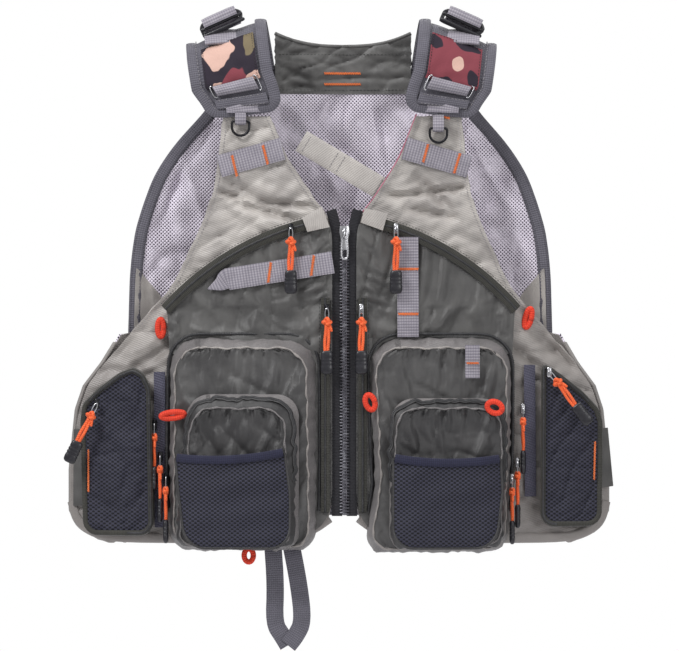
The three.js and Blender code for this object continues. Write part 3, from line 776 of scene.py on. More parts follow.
BAGS = {
    "big_l": dict(
        base=dict(left=[(-296, -172), (-508, -173)], right=[(-296, -25), (-508, -26)], top=-295, bottom=-508,
                  corners=(30, 20)),
        face=dict(left=[(-306, -167), (-504, -168)], right=[(-306, -36), (-504, -33)], top=-306, bottom=-504,
                  corners=(26, 18)),
        under=0.4, rim=(19, 24), full=28),
    "big_r": dict(
        base=dict(left=[(-296, 27), (-440, 33), (-508, 22)], right=[(-296, 170), (-508, 166)], top=-295,
                  bottom=-510, corners=(32, 20)),
        face=dict(left=[(-306, 33), (-440, 39), (-508, 28)], right=[(-306, 165), (-508, 163)], top=-306,
                  bottom=-506, corners=(26, 18)),
        under=0.4, rim=(19, 24), full=28),
    "small_l": dict(
        base=dict(left=[(-352, -154), (-430, -160), (-506, -168)], right=[(-352, -43), (-506, -43)], top=-352,
                  bottom=-505, corners=(22, 14)),
        face=dict(left=[(-366, -149), (-430, -156), (-506, -163)], right=[(-366, -58), (-506, -52)], top=-366,
                  bottom=-501, corners=(20, 12)),
        under=25, rim=(37, 40), full=46),
    "small_r": dict(
        base=dict(left=[(-356, 48), (-506, 47)], right=[(-356, 163), (-506, 162)], top=-356, bottom=-505,
                  corners=(24, 14)),
        face=dict(left=[(-366, 54), (-506, 52)], right=[(-366, 159), (-506, 158)], top=-366, bottom=-501,
                  corners=(22, 12)),
        under=25, rim=(37, 40), full=46),
}


def bag_face(spec):
    """A bag's front before it swells, as a grid of points, and its depth off the panel at each point."""
    x, z = outline_grid(**spec["face"])
    top, bottom = spec["face"]["top"], spec["face"]["bottom"]
    depth = spec["rim"][0] + (spec["rim"][1] - spec["rim"][0]) * (top - z) / (top - bottom)
    return np.stack([x, front_at(x, z) - STANDOFF - depth, z], -1), depth


def finished_face(name, spec, grid, depth, moved):
    """The swollen front of a bag, with gathers below the piping."""
    x, z = grid[:, :, 0], grid[:, :, 2]
    away = edge_distance(grid)
    hold = np.clip(away / 16, 0, 1)
    seed = sum(map(ord, name))
    rise = -moved[:, :, 1]
    rise = soft_cap(rise, -3.0, spec["full"] - depth + 1.0)
    rise = rise * np.clip(away / 5, 0, 1)
    rise -= hold * (2.4 * folds(x, z, 48, seed, slant=-30) + 1.3 * folds(x, z, 30, seed + 1, slant=85))
    top = spec["face"]["top"]
    across = x + 3.0 * np.sin(x / 11)
    gather = np.sin(math.tau * across / 6.1) + 0.7 * np.sin(math.tau * across / 9.7 + 1.0)
    high = np.clip(1 - (top - z - 4) / 34, 0, 1)
    rise += 1.5 * gather * high * np.exp(-((away - 4) / 8) ** 2) * np.clip(away / 2, 0, 1)
    swollen = grid.copy()
    swollen[:, :, 0] += np.clip(moved[:, :, 0], -2, 2)
    swollen[:, :, 2] += np.clip(moved[:, :, 2], -2, 2)
    swollen[:, :, 1] -= rise
    return swollen


def gusset(spec, face_grid, rows=9, bulge=1.8):
    """The side wall between a bag's base outline and the edge of its front."""
    x, z = outline_grid(**spec["base"])
    rim = edge_of(face_grid)
    base = edge_of(np.stack([x, front_at(x, z) - STANDOFF - spec["under"], z], -1))
    middle = rim.mean(0)
    away = rim - middle
    away[:, 1] = 0
    away = unit(away)
    t = np.linspace(0, 1, rows)
    wall = base[None] + (rim - base)[None] * t[:, None, None]
    wall = wall + away[None] * (bulge * np.sin(math.pi * t))[:, None, None]
    crumple = ripples(wall[:, :, 0], wall[:, :, 2], 17, 7) + 0.7 * ripples(wall[:, :, 0], wall[:, :, 2], 8, 9)
    wall = wall + away[None] * (1.1 * crumple * np.sin(math.pi * t)[:, None])[:, :, None]
    return wall, base


# ------------------------------------------------------------------ back
def seam_at(z):
    """Half width at the side seam, drawn in where the hem's corner is rounded."""
    return along(SIDE_SEAM, z) - 0.045 * np.maximum(-468 - np.asarray(z, float), 0) ** 2


def mesh_slack(x, z, h, edge):
    """How far the back mesh sags off its even surface, kept flat where the cargo pocket is sewn on it."""
    hold = np.clip((edge - h) / 14, 0, 1) * np.clip((-46 - z) / 20, 0, 1)
    slack = 5.5 * folds(x, z, 120, 3, slant=62) - 4.5 * folds(x, z, 95, 11, slant=-62)
    slack += 2.5 * folds(x, z, 46, 13, slant=75) + 1.2 * ripples(x, z, 30, 5)
    off_pocket = np.maximum(np.maximum(abs(x) - 167, z + 288), 0)
    return hold * np.minimum(slack, 0.1 + 0.35 * off_pocket)


def make_back():
    z = np.linspace(-46, -485, 150)
    edge = np.where(z >= -291, smooth_along(ARMHOLE, z) - 12.4, seam_at(z) - 2)
    t = np.linspace(-1, 1, 160)
    h = abs(t)[None] * edge[:, None]
    zz = np.repeat(z[:, None], len(t), 1)
    x = at_x(np.where(t < 0, -1, 1)[None], h)
    grid = np.stack([x, back_y(h, zz) - CLOTH + mesh_slack(x, zz, h, edge[:, None]), zz], -1)
    grid[:, :, 2] += 15 * np.exp(-(x / 60) ** 2) * np.clip((-440 - zz) / 45, 0, 1)
    coords = np.stack([x, zz], -1)
    panel = piece("back_mesh", [sheet(grid, 2.4, coords=coords)], "mesh", "back", ["back_panel"])
    hem = resample(grid[-1, 1:-1], 2.5) + np.array([0, 1.2, 2.0])
    shells = [tube(hem, 4.6, 2.3, sides=12, power=2.6, up=np.array([0, -1.0, 0]))]
    piece("back_hem_binding", shells, "binding", "back")

    inside = outwards(back_at, CLOTH + 0.5)
    for name, side in SIDES.items():
        # Ripstop side piece, sewn to the inside of the mesh below the armhole.
        z = np.linspace(-226, -484, 90)
        inner = along([(-226, 205), (-251, 184), (-292, 160), (-484, 150)], z)
        outer = np.where(z > -291, smooth_along(ARMHOLE, z) - 6, seam_at(z) - 3)
        t = np.linspace(0, 1, 30)
        h = inner[:, None] + (outer - inner)[:, None] * t[None]
        zz = np.repeat(z[:, None], len(t), 1)
        x = at_x(side, h)
        sag = mesh_slack(x, zz, h, outer[:, None] - 8)
        y = inside(x, zz) - 1.8 + sag + 0.6 * folds(x, zz, 34, 20 + side, slant=35 * side)
        grid = np.stack([x, y, zz], -1)
        piece(f"side_piece_{name}", [sheet(grid, 0.9)], "light", "back")

        # Armhole binding: a ribbed tape folded over the edge.
        path_z = np.linspace(-44, -291, 90)
        h = smooth_along(ARMHOLE, path_z) - 6
        path = np.stack([at_x(side, h), back_y(h, path_z) - CLOTH / 2, path_z], -1)
        shells = [tube(path, 6.3, 2.3, sides=14, power=2.6)]
        normals = np.broadcast_to(TOWARDS_FRONT, path.shape)
        for off in (-4.3, 4.3):
            line = path + np.array([side * off, -2.3, 0])
            shells += stitches(line, normals, 3.4)
        piece(f"edge_binding_{name}", shells, "binding", "back", [f"armhole_binding_{name}"])


def make_yoke():
    t = np.linspace(-1, 1, 64)
    v = np.linspace(0, 1, 28)
    h = abs(t)[None] * 69 * np.ones((28, 1))
    z = -48 + v[:, None] * (48 + 13 * abs(t[None]) ** 2.6)
    x = at_x(np.where(t < 0, -1, 1)[None], h)
    soft = 2.2 * folds(x, z, 30, 8, slant=20) + 1.2 * folds(x, z, 17, 9, slant=-15)
    soft = soft * np.clip(v * 6, 0, 1)[:, None]
    soft = soft * np.clip(np.minimum(abs(z + 27), abs(z + 38)) / 5, 0.3, 1)
    soft += sum(2.6 * crease(x, z, a, b, 3.0) for a, b in (((-62, -8), (-22, -6)), ((-60, -22), (-30, -36)),
                                                          ((-62, -36), (-34, -20)), ((-58, -40), (-26, -42))))
    grid = np.stack([x, back_y(h, z) - CLOTH - 0.8 + soft, z], -1)
    coords = np.stack([x, z], -1)
    yoke = piece("neck_yoke", [sheet(grid, 3.4, coords=coords)], "dark", "back", ["yoke"])
    top = grid[-1]
    path = top + np.array([0, 1.6, 0.4])
    piece("neckline_binding", [tube(path, 2.0, 2.4, sides=10)], "dark", "back")
    base = outwards(back_at, CLOTH + 0.9)
    lines = [stitches(*on_surface([(-66, level), (68, level)], 0.2, base)) for level in (-8, -44)]
    piece("yoke_stitches", [s for line in lines for s in line], "dark_thread", "back")
    rows = [tack((-18, level), (19, level), base, 0.6, 2.4, 0.5) for level in (-27, -38)]
    piece("yoke_tacks", rows, "thread", "back")


def wire_loop(x, y, z, width, high, wire):
    """A D-shaped wire ring whose straight bar is at (y, z), hanging below it."""
    half = width / 2 - wire / 2
    turn = np.linspace(math.pi, 2 * math.pi, 22)
    drop = high - wire - half
    arc = [(half * math.cos(a), -drop + half * math.sin(a)) for a in turn]
    bar = [(half, -1.5), (half - 1.3, 0), (0, 0), (1.3 - half, 0), (-half, -1.5)]
    flat = np.array([*arc, *bar])
    path = np.stack([x + flat[:, 0], np.full(len(flat), y), z + flat[:, 1]], -1)
    return tube(resample(np.vstack([path, path[:1]]), 1.2)[:-1], wire / 2, sides=10, closed=True)


def hanging_tab(x, y, z, width, above, wall, side=-1):
    """Webbing folded round a ring's bar and sewn flat above it, before the wall (side -1) or behind (1)."""
    r = 2.6
    flat = [(wall, above), (y + side * r, 5), (y + side * r, 0), (y + side * 1.9, -1.9), (y, -r),
            (y - side * 1.9, -1.9), (y - side * r, 0), (y - side * r, 5), (wall - side * 0.4, above - 5)]
    flat = resample(rounded(np.array(flat, float), 2), 1.0)
    path = np.stack([np.full(len(flat), float(x)), flat[:, 0], z + flat[:, 1]], -1)
    run = unit(np.gradient(path, axis=0))
    normals = np.stack([np.zeros(len(run)), side * -run[:, 2], side * run[:, 1]], -1)
    return ribbon(path, normals, width, 1.3)


def make_net_ring():
    x, y, z = ZIP_X, BACK_Y + 6.5, -58
    piece("net_ring_wire", [wire_loop(x, y, z, 26, 22, 2.6)], "black_metal", "net_ring", ["net_ring"])
    tab = hanging_tab(x, y, z, 12, 22, BACK_Y + 1.5, side=1)
    piece("net_ring_webbing", [tab], "webbing", "back", ["net_ring_tab"])


def make_back_pocket():
    x, z = outline_grid(left=[(-292, -164), (-474, -164)], right=[(-292, 162), (-474, 162)], top=-292,
                        bottom=-474, corners=(16, 14), cols=84)
    away = edge_distance(np.stack([x, x * 0, z], -1))
    swell = 1.0 + 10.5 * np.clip(away / 34, 0, 1) ** 0.5 - 1.6 * folds(x, z, 60, 31, slant=10)
    swell -= 1.2 * folds(x, z, 24, 33, slant=70) * np.exp(-away / 14)
    grid = np.stack([x, back_at(x, z) + 0.4 + np.maximum(swell, 0.8), z], -1)
    behind = -TOWARDS_FRONT
    flat = np.stack([x, back_at(x, z) + 0.3, z], -1)
    coords = np.stack([x, z], -1)
    # The cargo pocket takes the shade look: pale ripstop with painted shade.
    pocket = piece("cargo_pocket", [between(grid, flat, coords)], "shade", "back", ["back_pocket"])
    ring = edge_of(grid)
    ring = np.vstack([ring, ring[:1]])
    shells = [tube(resample(ring, 2.5)[:-1] + np.array([0, 0.4, 0]), 2.6, 1.4, closed=True)]
    piece("cargo_pocket_piping", shells, "binding", "back")
    level = -318
    xs = np.linspace(-140, 140, 90)
    row = np.argmin(abs(z[:, 40] - level))
    level_y = np.interp(xs, x[row], grid[row - 2:row + 3, :, 1].max(0)) + 1.6
    path = np.stack([xs, level_y, np.full(90, z[row, 40])], -1)
    normals = np.broadcast_to(behind, path.shape)
    piece("cargo_zip_band", [ribbon(path, normals, 14, 0.9)], "band", "back")
    piece("cargo_zip_coil", [coil(path + np.array([0, 1.3, 0]))], "coil", "back")


# ------------------------------------------------------------------ shoulders
def pad_point(side, t, w, out):
    """Point on a shoulder pad: t from its front end over the crest, w across it, out from its inner face."""
    t, w, out = np.broadcast_arrays(np.asarray(t, float), np.asarray(w, float), np.asarray(out, float))
    arc_from, arc_to = 0.3, 0.75
    middle = PAD["middle"]
    turn = np.clip((t - arc_from) / (arc_to - arc_from), 0, 1)
    crest = np.sin(math.pi * np.clip(t, 0, 1)) ** 2
    lean = np.radians(6 + (20 - 6) * crest)
    h = PAD["end_h"] + (PAD["crest_h"] - PAD["end_h"]) * crest + w * np.cos(lean)
    fore = front_y(h, middle) + CLOTH + STANDOFF
    aft = back_y(h, middle) + STANDOFF
    angle = math.pi * (1 - turn)
    y = (aft + fore) / 2 + ((aft - fore) / 2 + out) * np.cos(angle)
    z = middle + (PAD["rise"] + out) * np.sin(angle)
    z = np.where(t < arc_from, -71 + (middle + 71) * t / arc_from, z)
    z = np.where(t > arc_to, middle + (-62 - middle) * (t - arc_to) / (1 - arc_to), z)
    return np.stack([at_x(side, h), y, z - w * np.sin(lean)], -1)


def pad_path(side, line, out, step=2.0):
    """A path over the pad through these (t, w), and the pad's normals along it."""
    line = np.asarray(line, float)
    scale = np.array([225.0, 1.0])
    flat = resample(line * scale, step) / scale
    path = pad_point(side, flat[:, 0], flat[:, 1], out)
    return path, unit(pad_point(side, flat[:, 0], flat[:, 1], out + 1.0) - path)


def pad_patch(side, t0, t1, half, out, rise=0.0, sizes=(26, 26)):
    """A rectangular patch on the pad."""
    t = np.linspace(t0, t1, sizes[0])[:, None]
    w = np.linspace(-half, half, sizes[1])[None]
    hump = rise * np.clip(np.sin(math.pi * (t - t0) / (t1 - t0)), 0, 1) ** 0.6 * np.ones_like(w)
    return pad_point(side, t, w, out + hump)


def pad_width(t):
    t = np.asarray(t, float)
    width = PAD["end_width"] + (PAD["width"] - PAD["end_width"]) * np.sqrt(np.maximum(np.sin(math.pi * t), 0))
    corner = 22
    near = np.clip(corner - 225 * np.minimum(t, 1 - t), 0, corner)
    return width - 2 * (corner - np.sqrt(corner**2 - near**2))


def make_pad(name, side):
    thick = PAD["thick"]
    start, end = [0, 0.002, 0.008, 0.02, 0.04], [0.96, 0.98, 0.992, 0.998, 1]
    t = np.concatenate([start, np.linspace(0.06, 0.94, 70), end])
    u = np.linspace(-0.5, 0.5, 25)
    w = u[None] * pad_width(t)[:, None]
    tt = np.repeat(t[:, None], len(u), 1)
    edge = (1 - abs(2 * u[None]) ** 5) * np.clip(np.minimum(t, 1 - t) * 40, 0.2, 1)[:, None]
    crumple = 0.5 * ripples(tt * 225, w, 26, 40 + side)
    outer = pad_point(side, tt, w, thick * 0.45 + (thick * 0.62 + crumple * 0.6) * edge)
    inner = pad_point(side, tt, w, 0.0)
    coords = np.stack([w, tt * 225], -1)
    pad = piece(f"pad_{name}", [between(outer, inner, coords)], "binding", "back", [f"shoulder_pad_{name}"])

    # Edge binding, 12 wide, with a stitch line along its inner side.
    up = np.linspace(0.035, 0.965, 60)
    rim = [(a, b) for a, b in zip(up, pad_width(up) / 2 - 5.5)]
    loop = [(0.028, 0)] + rim + [(0.972, 0)] + [(a, -b) for a, b in rim[::-1]] + [(0.028, 0)]
    path, normals = pad_path(side, loop, thick + 0.2, 3.0)
    piece(f"pad_binding_{name}", [ribbon(path[:-1], normals[:-1], 11.5, 1.2, crown=0.7, closed=True)],
          "binding", "back")
    inner_rim = [(a, b) for a, b in zip(up, pad_width(up) / 2 - 9.5)]
    stitch_shells = []
    for sign in (-1, 1):
        seam = [(a, sign * b) for a, b in inner_rim]
        stitch_shells += stitches(*pad_path(side, seam, thick + 1.7), 4.2, 2.6)
    piece(f"pad_stitches_{name}", stitch_shells, "pale_thread", "back")

    # Strap webbing over the crest, the printed patch on it, and the folds of the lower lock.
    top = thick + 0.6
    straps = [
        ribbon(*pad_path(side, [(0.415, 2), (0.5, 2)], top + 1.9), 40, 1.6, crown=0.6),
        ribbon(*pad_path(side, [(0.52, 0), (0.93, 0)], top + 1.2), 38, 1.6, crown=0.4),
        ribbon(*pad_path(side, [(0.006, -2), (0.09, -2)], top + 1.4), 38, 1.6),
    ]
    fold = pad_patch(side, 0.185, 0.285, 20.5, top + 3.6, rise=4.2)
    straps.append(sheet(fold, 1.8))
    piece(f"pad_webbing_{name}", straps, "webbing", "back")
    band = pad_patch(side, 0.06, 0.15, 25.5, top + 2.8, rise=0.9)
    piece(f"pad_band_{name}", [sheet(band, 1.8)], "binding", "back")
    shells = []
    for level in (0.068, 0.142):
        shells += stitches(*pad_path(side, [(level, -24), (level, 24)], top + 3.3), 3.6)
    piece(f"pad_band_stitches_{name}", shells, "pale_thread", "back")

    patch = pad_patch(side, 0.262, 0.425, 27, top + 2.0, rise=1.4, sizes=(40, 40))
    puckers = ripples(patch[:, :, 0], patch[:, :, 2], 14, 51)[:, :, None]
    patch = patch + normals_of(patch) * 0.35 * puckers
    w, t = np.meshgrid(np.linspace(-27, 27, 40), np.linspace(0, 37, 40))
    patch_shell = sheet(patch, 1.4, coords=np.stack([w, t], -1))
    printed = piece(f"pad_patch_{name}", [patch_shell], f"camo_{name}", "back")
    rim = [(0.268, -25.5), (0.268, 25.5), (0.419, 25.5), (0.419, -25.5), (0.268, -25.5)]
    seams = stitches(*pad_path(side, rim, top + 3.4), 3.2, 2.0)
    piece(f"pad_patch_stitches_{name}", seams, "dark_thread", "back")

    wires = []
    for sign in (-1, 1):
        line, normals = pad_path(side, [(0.175, sign * 21.5), (0.18, sign * 23.5), (0.235, sign * 23.8),
                                        (0.285, sign * 23.5), (0.29, sign * 21.5)], top + 4.0)
        wires.append(domed(resample(line, 1.5), 0.8, sides=8))
    piece(f"lower_lock_{name}", wires, "metal", "back")


def make_adjuster(name, side):
    """Ladder lock standing on the crest, with the strap folded over its bars."""
    low, high = (np.array(c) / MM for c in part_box(f"strap_adjuster_{name}"))
    centre = (low + high) / 2 + np.array([side * 8.0, 0, -1.5])
    angle = side * math.radians(24)
    across = np.array([math.cos(angle), 0, -math.sin(angle)])
    up = np.array([math.sin(angle), 0, math.cos(angle)])
    back = np.array([0.0, 1.0, 0.0])

    def place(points):
        points = np.asarray(points, float)
        return centre + points[:, :1] * across + points[:, 1:2] * back + points[:, 2:] * up

    half, high_half, bar = 21.0, 7.4, 2.0
    ring = [(-half, 0, -high_half), (half, 0, -high_half), (half, 0, high_half), (-half, 0, high_half)]
    ring = rounded(np.array([*ring, ring[0]], float), 2)
    frame_path = place(resample(ring, 2.5)[:-1])
    shells = [tube(frame_path, 2.0, 3.4, sides=10, power=3, closed=True)]
    for y, z in ((-2.4, 0.0), (3.2, 1.5), (-4.0, -6.4)):
        shells.append(domed(place([(-half, y, z), (0, y, z), (half, y, z)]), bar, sides=8))
    piece(f"ladder_lock_{name}", shells, "plastic", "back", [f"strap_adjuster_{name}"])

    r = 4.4
    turn = np.linspace(0, math.pi, 12)
    fold = [(-5.0, 1.0)] + [(-r * math.cos(a) * 1.15, 4.6 + r * math.sin(a)) for a in turn]
    fold += [(6.6, -3), (8.5, -9)]
    fold = resample(rounded(np.array(fold), 2), 1.2)
    path = place(np.stack([np.zeros(len(fold)), fold[:, 0], fold[:, 1]], -1))
    run = unit(np.gradient(fold, axis=0))
    normals = -run[:, 1:] * back + run[:, :1] * up
    piece(f"ladder_webbing_{name}", [ribbon(path, normals, 36, 1.5)], "webbing", "back")


# ------------------------------------------------------------------ fronts
def front_grid(side, zs, cols, inner, outer):
    h = inner[:, None] + (outer - inner)[:, None] * np.linspace(0, 1, cols)[None]
    return at_x(side, h), np.repeat(zs[:, None], cols, 1), h


def bend_strap(made):
    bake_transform(made)


def make_front_panel(name, side):
    zs = np.concatenate([np.linspace(-74, -480, 150), np.linspace(-482, -500, 12)])
    inner, outer = smooth_along(NECK_EDGE, zs), smooth_along(FRONT_EDGE, zs, 5)
    x, z, h = front_grid(side, zs, 70, inner, outer)
    hold = np.clip(np.minimum(h - inner[:, None], outer[:, None] - h) / 7, 0, 1)
    if name == "l":
        lines = [((-127, -148), (-98, -156), 3.2), ((-86, -159), (-26, -165), 3.4),
                 ((-110, -160), (-40, -180), 4),
                 ((-120, -135), (-60, -172), 5),
                 ((-215, -330), (-150, -290), 6), ((-250, -355), (-185, -330), 5),
                 ((-190, -285), (-150, -310), 5)]
    else:
        lines = [((43, -153), (90, -150), 3.2), ((84, -150), (130, -143), 3.2), ((60, -166), (120, -176), 4),
                 ((70, -130), (112, -170), 5),
                 ((190, -290), (240, -330), 6), ((215, -340), (165, -300), 5), ((230, -350), (255, -385), 5)]
    deep = sum(8.5 * crease(x, z, a, b, w) for a, b, w in lines)
    deep = deep + 3.4 * folds(x, z, 66, 60 + side, slant=-25 * side)
    deep = deep + 1.6 * folds(x, z, 28, 64 + side, slant=15)
    deep += 0.6 * ripples(x, z, 16, 66 + side)
    grid = np.stack([x, front_y(h, z) + hold * np.maximum(deep, -0.4), z], -1)
    coords = np.stack([x, z], -1)
    nodes = [f"front_panel_{name}", f"strap_top_{name}"]
    upper = zs > -291
    made = piece(f"front_cloth_{name}", [sheet(grid[upper], CLOTH - 0.6, coords=coords[upper])], "light",
                 None, nodes)
    bend_strap(made)
    lower = zs < -286
    made = piece(f"front_lower_{name}", [sheet(grid[lower] + np.array([0, 0.3, 0]), CLOTH - 0.6,
                                               coords=coords[lower])], "light", f"front_{name}")

    # Turned and stitched edges, and the bound hem.
    rim = [(at_x(side, a - 4), b) for b, a in FRONT_EDGE if -299 < b]
    seam = stitches(*on_surface(rim, 0.3, smooth=2), 3.6)
    rim = [(at_x(side, a + 4), b) for b, a in NECK_EDGE if -172 < b]
    seam += stitches(*on_surface(rim, 0.3, smooth=2), 3.6)
    bend_strap(piece(f"front_stitches_{name}", seam, "pale_thread"))
    hem = [(at_x(side, a - 1.5), b + 3.5) for b, a in FRONT_EDGE if b < -440]
    hem += [(at_x(side, 150), -497), (at_x(side, 52), -496.5), (at_x(side, 30), -487), (at_x(side, 15), -476)]
    path, normals = on_surface(hem, -1.6, smooth=2)
    # The hem takes the pale ripstop, so its painted shade below the chest darkens it.
    piece(f"hem_binding_{name}", [tube(path, 5.2, 2.4, sides=12, power=2.4, up=normals)], "light",
          f"front_{name}")
    if name == "r":
        edge = [(at_x(side, a - 0.4), b) for b, a in NECK_EDGE if -172 < b]
        path, _ = on_surface(edge, -1.0, smooth=2)
        bend_strap(piece("neck_piping_r", [tube(path, 0.8, sides=8)], "pink"))


def make_side_fold(name, side):
    """The side seam: cloth that joins back and front."""
    z = np.linspace(-300, -486, 60)
    seam = seam_at(z)
    t = np.linspace(0, 1, 12)
    h = (seam - 2)[:, None] + (3.0 * np.sin(math.pi * t))[None]
    zz = np.repeat(z[:, None], len(t), 1)
    y = back_y(seam, z)[:, None] * (1 - t) + (front_y(seam, z) + 1.5)[:, None] * t
    grid = np.stack([at_x(side, h), y, zz], -1)
    made = piece(f"side_seam_{name}", [sheet(grid, 1.4, np.array([side, 0.0, 0.0]))], "light")
    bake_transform(made)


def chest_grid(side):
    """Face of the satin chest pocket, between the diagonal zip and the centre zip, before it swells."""
    zs = np.concatenate([np.linspace(-182, -296, 62), np.linspace(-298, -312, 6)])
    arc_h = ARC["h"] + np.sqrt(np.maximum(ARC["r"] ** 2 - (zs - ARC["z"]) ** 2, 0))
    outer = np.minimum(arc_h, along([(-266, 176), (-272, 174), (-312, 172)], zs))
    inner = smooth_along(NECK_EDGE, zs) + 1.2
    x, z, h = front_grid(side, zs, 72, inner, outer)
    return np.stack([x, front_y(h, z) - STANDOFF - 5.6, z], -1)


def make_chest(name, side, moved):
    body = f"front_{name}"
    grid = chest_grid(side)
    x, z = grid[:, :, 0], grid[:, :, 2]
    away = edge_distance(grid)
    rise = soft_cap(-moved[:, :, 1], -2.6, 2.4) * np.clip(away / 6, 0, 1)
    radiating = sum(
        2.2 * crease(x, z, (at_x(side, 14), -226 - 11 * k), (at_x(side, 54), -240 - 9 * k), 3.0)
        for k in range(4)
    )
    rise = rise - radiating - 2.2 * folds(x, z, 46, 70 + side, slant=80) * np.clip(away / 9, 0, 1)
    rise -= 1.4 * folds(x, z, 15, 75 + side, slant=75) * np.exp(-away / 12)
    swollen = grid.copy()
    swollen[:, :, 1] -= np.clip(rise, -5.0, 2.5)
    flat = grid.copy()
    flat[:, :, 1] = front_at(x, z) - 0.3
    made = piece(f"chest_satin_{name}", [between(swollen, flat, np.stack([x, z], -1))], "dark", body,
                 [f"chest_pocket_{name}"])

    # The strip of satin beside the centre zip, down to the hem, with its upright zip.
    inner_to = abs({"l": -27, "r": 27}[name] - ZIP_X) + 4
    zs = np.linspace(-296, -490, 90)
    x2, z2, h2 = front_grid(side, zs, 18, smooth_along(NECK_EDGE, zs) + 1.2, np.full(90, float(inner_to)))
    ripple = 1.2 * folds(x2, z2, 22, 80 + side, slant=8)
    y2 = front_y(h2, z2) - STANDOFF - 5.2 + ripple
    strip = np.stack([x2, y2, z2], -1)
    behind = np.stack([x2, front_y(h2, z2) - 0.3, z2], -1)
    piece(f"zip_side_satin_{name}", [between(strip, behind, np.stack([x2, z2], -1))], "dark", body)

    lift = outwards(front_at, STANDOFF + 6.4)
    arc = [(at_x(side, ARC["h"] + ARC["r"] * math.cos(a)), ARC["z"] + ARC["r"] * math.sin(a))
           for a in np.radians(np.linspace(77, 41.5, 40))]
    path, normals = on_surface(arc, 0.2, lift)
    bands = [ribbon(path, normals, 11.5, 1.3, crown=0.6)]
    coils = [coil(path + normals * 1.7)]
    upright = at_x(side, 17.2 + (1.6 if name == "l" else 1.2))
    path2, normals2 = on_surface([(upright, -256), (upright, -470)], 0.1, outwards(front_at, STANDOFF + 6.9))
    bands.append(ribbon(path2, normals2, 8.5, 1.0, crown=0.4))
    coils.append(coil(path2 + normals2 * 1.4))
    piece(f"chest_zip_bands_{name}", bands, "band", body)
    piece(f"chest_zip_coils_{name}", coils, "coil", body)
    shells = []
    for off in (-7.2, 7.2):
        side_line = np.cross(unit(np.gradient(path, axis=0)), normals)
        shells += stitches(path + side_line * off + normals * 0.6, normals, 3.4)
    for off in (-5.6, 5.8):
        shells += stitches(path2 + np.array([off, -0.2, 0]), normals2, 3.4)
    piece(f"chest_stitches_{name}", shells, "dark_thread", body)


def make_bag(name, spec_name, moved):
    """One bag pocket: its swollen face, gusset, piping and zip."""
    spec = BAGS[spec_name]
    body = f"front_{name}"
    big = spec_name.startswith("big")
    grid, depth = bag_face(spec)
    face = finished_face(spec_name, spec, grid, depth, moved)
    x, z = face[:, :, 0], face[:, :, 2]
    wall, base = gusset(spec, face)
    middle = base.mean(0)
    size = "big" if big else "small"
    # Face, gusset and back wall make one closed bag of cloth.
    back = face.copy()
    back[:, :, 1] += 2.2
    node = [f"{size}_pocket_{name}"]
    look = "bag" if big else "deep"
    made = piece(f"{size}_bag_front_{name}", [between(face, back, np.stack([x, z], -1))], look, body, node)
    inside = wall - unit(wall - middle) * 1.4
    half = len(wall) // 2
    outer_part = slice(None) if big else slice(0, half + 1)
    # The gusset wall takes the gusset look: pale ripstop with painted shade.
    piece(f"{size}_bag_gusset_{name}", [between(wall[outer_part], inside[outer_part], wrap=True)],
          "gusset", body)
    if not big:
        inner_half = between(wall[half:], inside[half:], wrap=True)
        piece(f"small_bag_inner_gusset_{name}", [inner_half], "deep", body)

    rim = edge_of(face)
    closed = resample(np.vstack([rim, rim[:1]]), 2.2)[:-1]
    s = np.arange(len(closed)) * 2.2
    ragged = 0.95 + 0.35 * np.sin(s / 1.7) * np.sin(s / 7.3) + 0.25 * np.sin(s / 3.1 + 1)
    wander = 0.7 * np.sin(s / 5.7) + 0.4 * np.sin(s / 2.3)
    outward = unit((closed - middle) * np.array([1, 0, 1]))
    closed = closed + outward * wander[:, None] + np.array([0, -0.4, 0])
    # The small bags' piping also takes the gusset look and its painted shade.
    piece(f"{size}_bag_piping_{name}", [tube(closed, ragged, sides=8, closed=True)],
          "light" if big else "gusset", body)
    seam = base if big else wall[half]
    foot = resample(np.vstack([seam, seam[:1]]), 2.0)[:-1]
    out = unit((foot - middle) * np.array([1, 0, 1]))
    outer_edge = foot + out * (3.2 if big else 0.4) + np.array([0, -5.2 if big else -1.6, 0])
    keep = outer_edge[:, 2] > (-470 if big else -440)
    order = np.argmax(~keep)
    line = np.roll(outer_edge, -order, 0)[np.roll(keep, -order)]
    piece(f"{size}_bag_zip_{name}", [coil(line, 1.5, 1.7)], "coil", body)
    tape = np.roll(foot, -order, 0)[np.roll(keep, -order)] + np.array([0, -1.0, 0])
    lean = unit(np.roll(out, -order, 0)[np.roll(keep, -order)] + np.array([0, -1.2, 0]))
    piece(f"{size}_bag_zip_tape_{name}", [ribbon(tape, lean, 7.5 if big else 4.5, 1.1)], "deep", body)


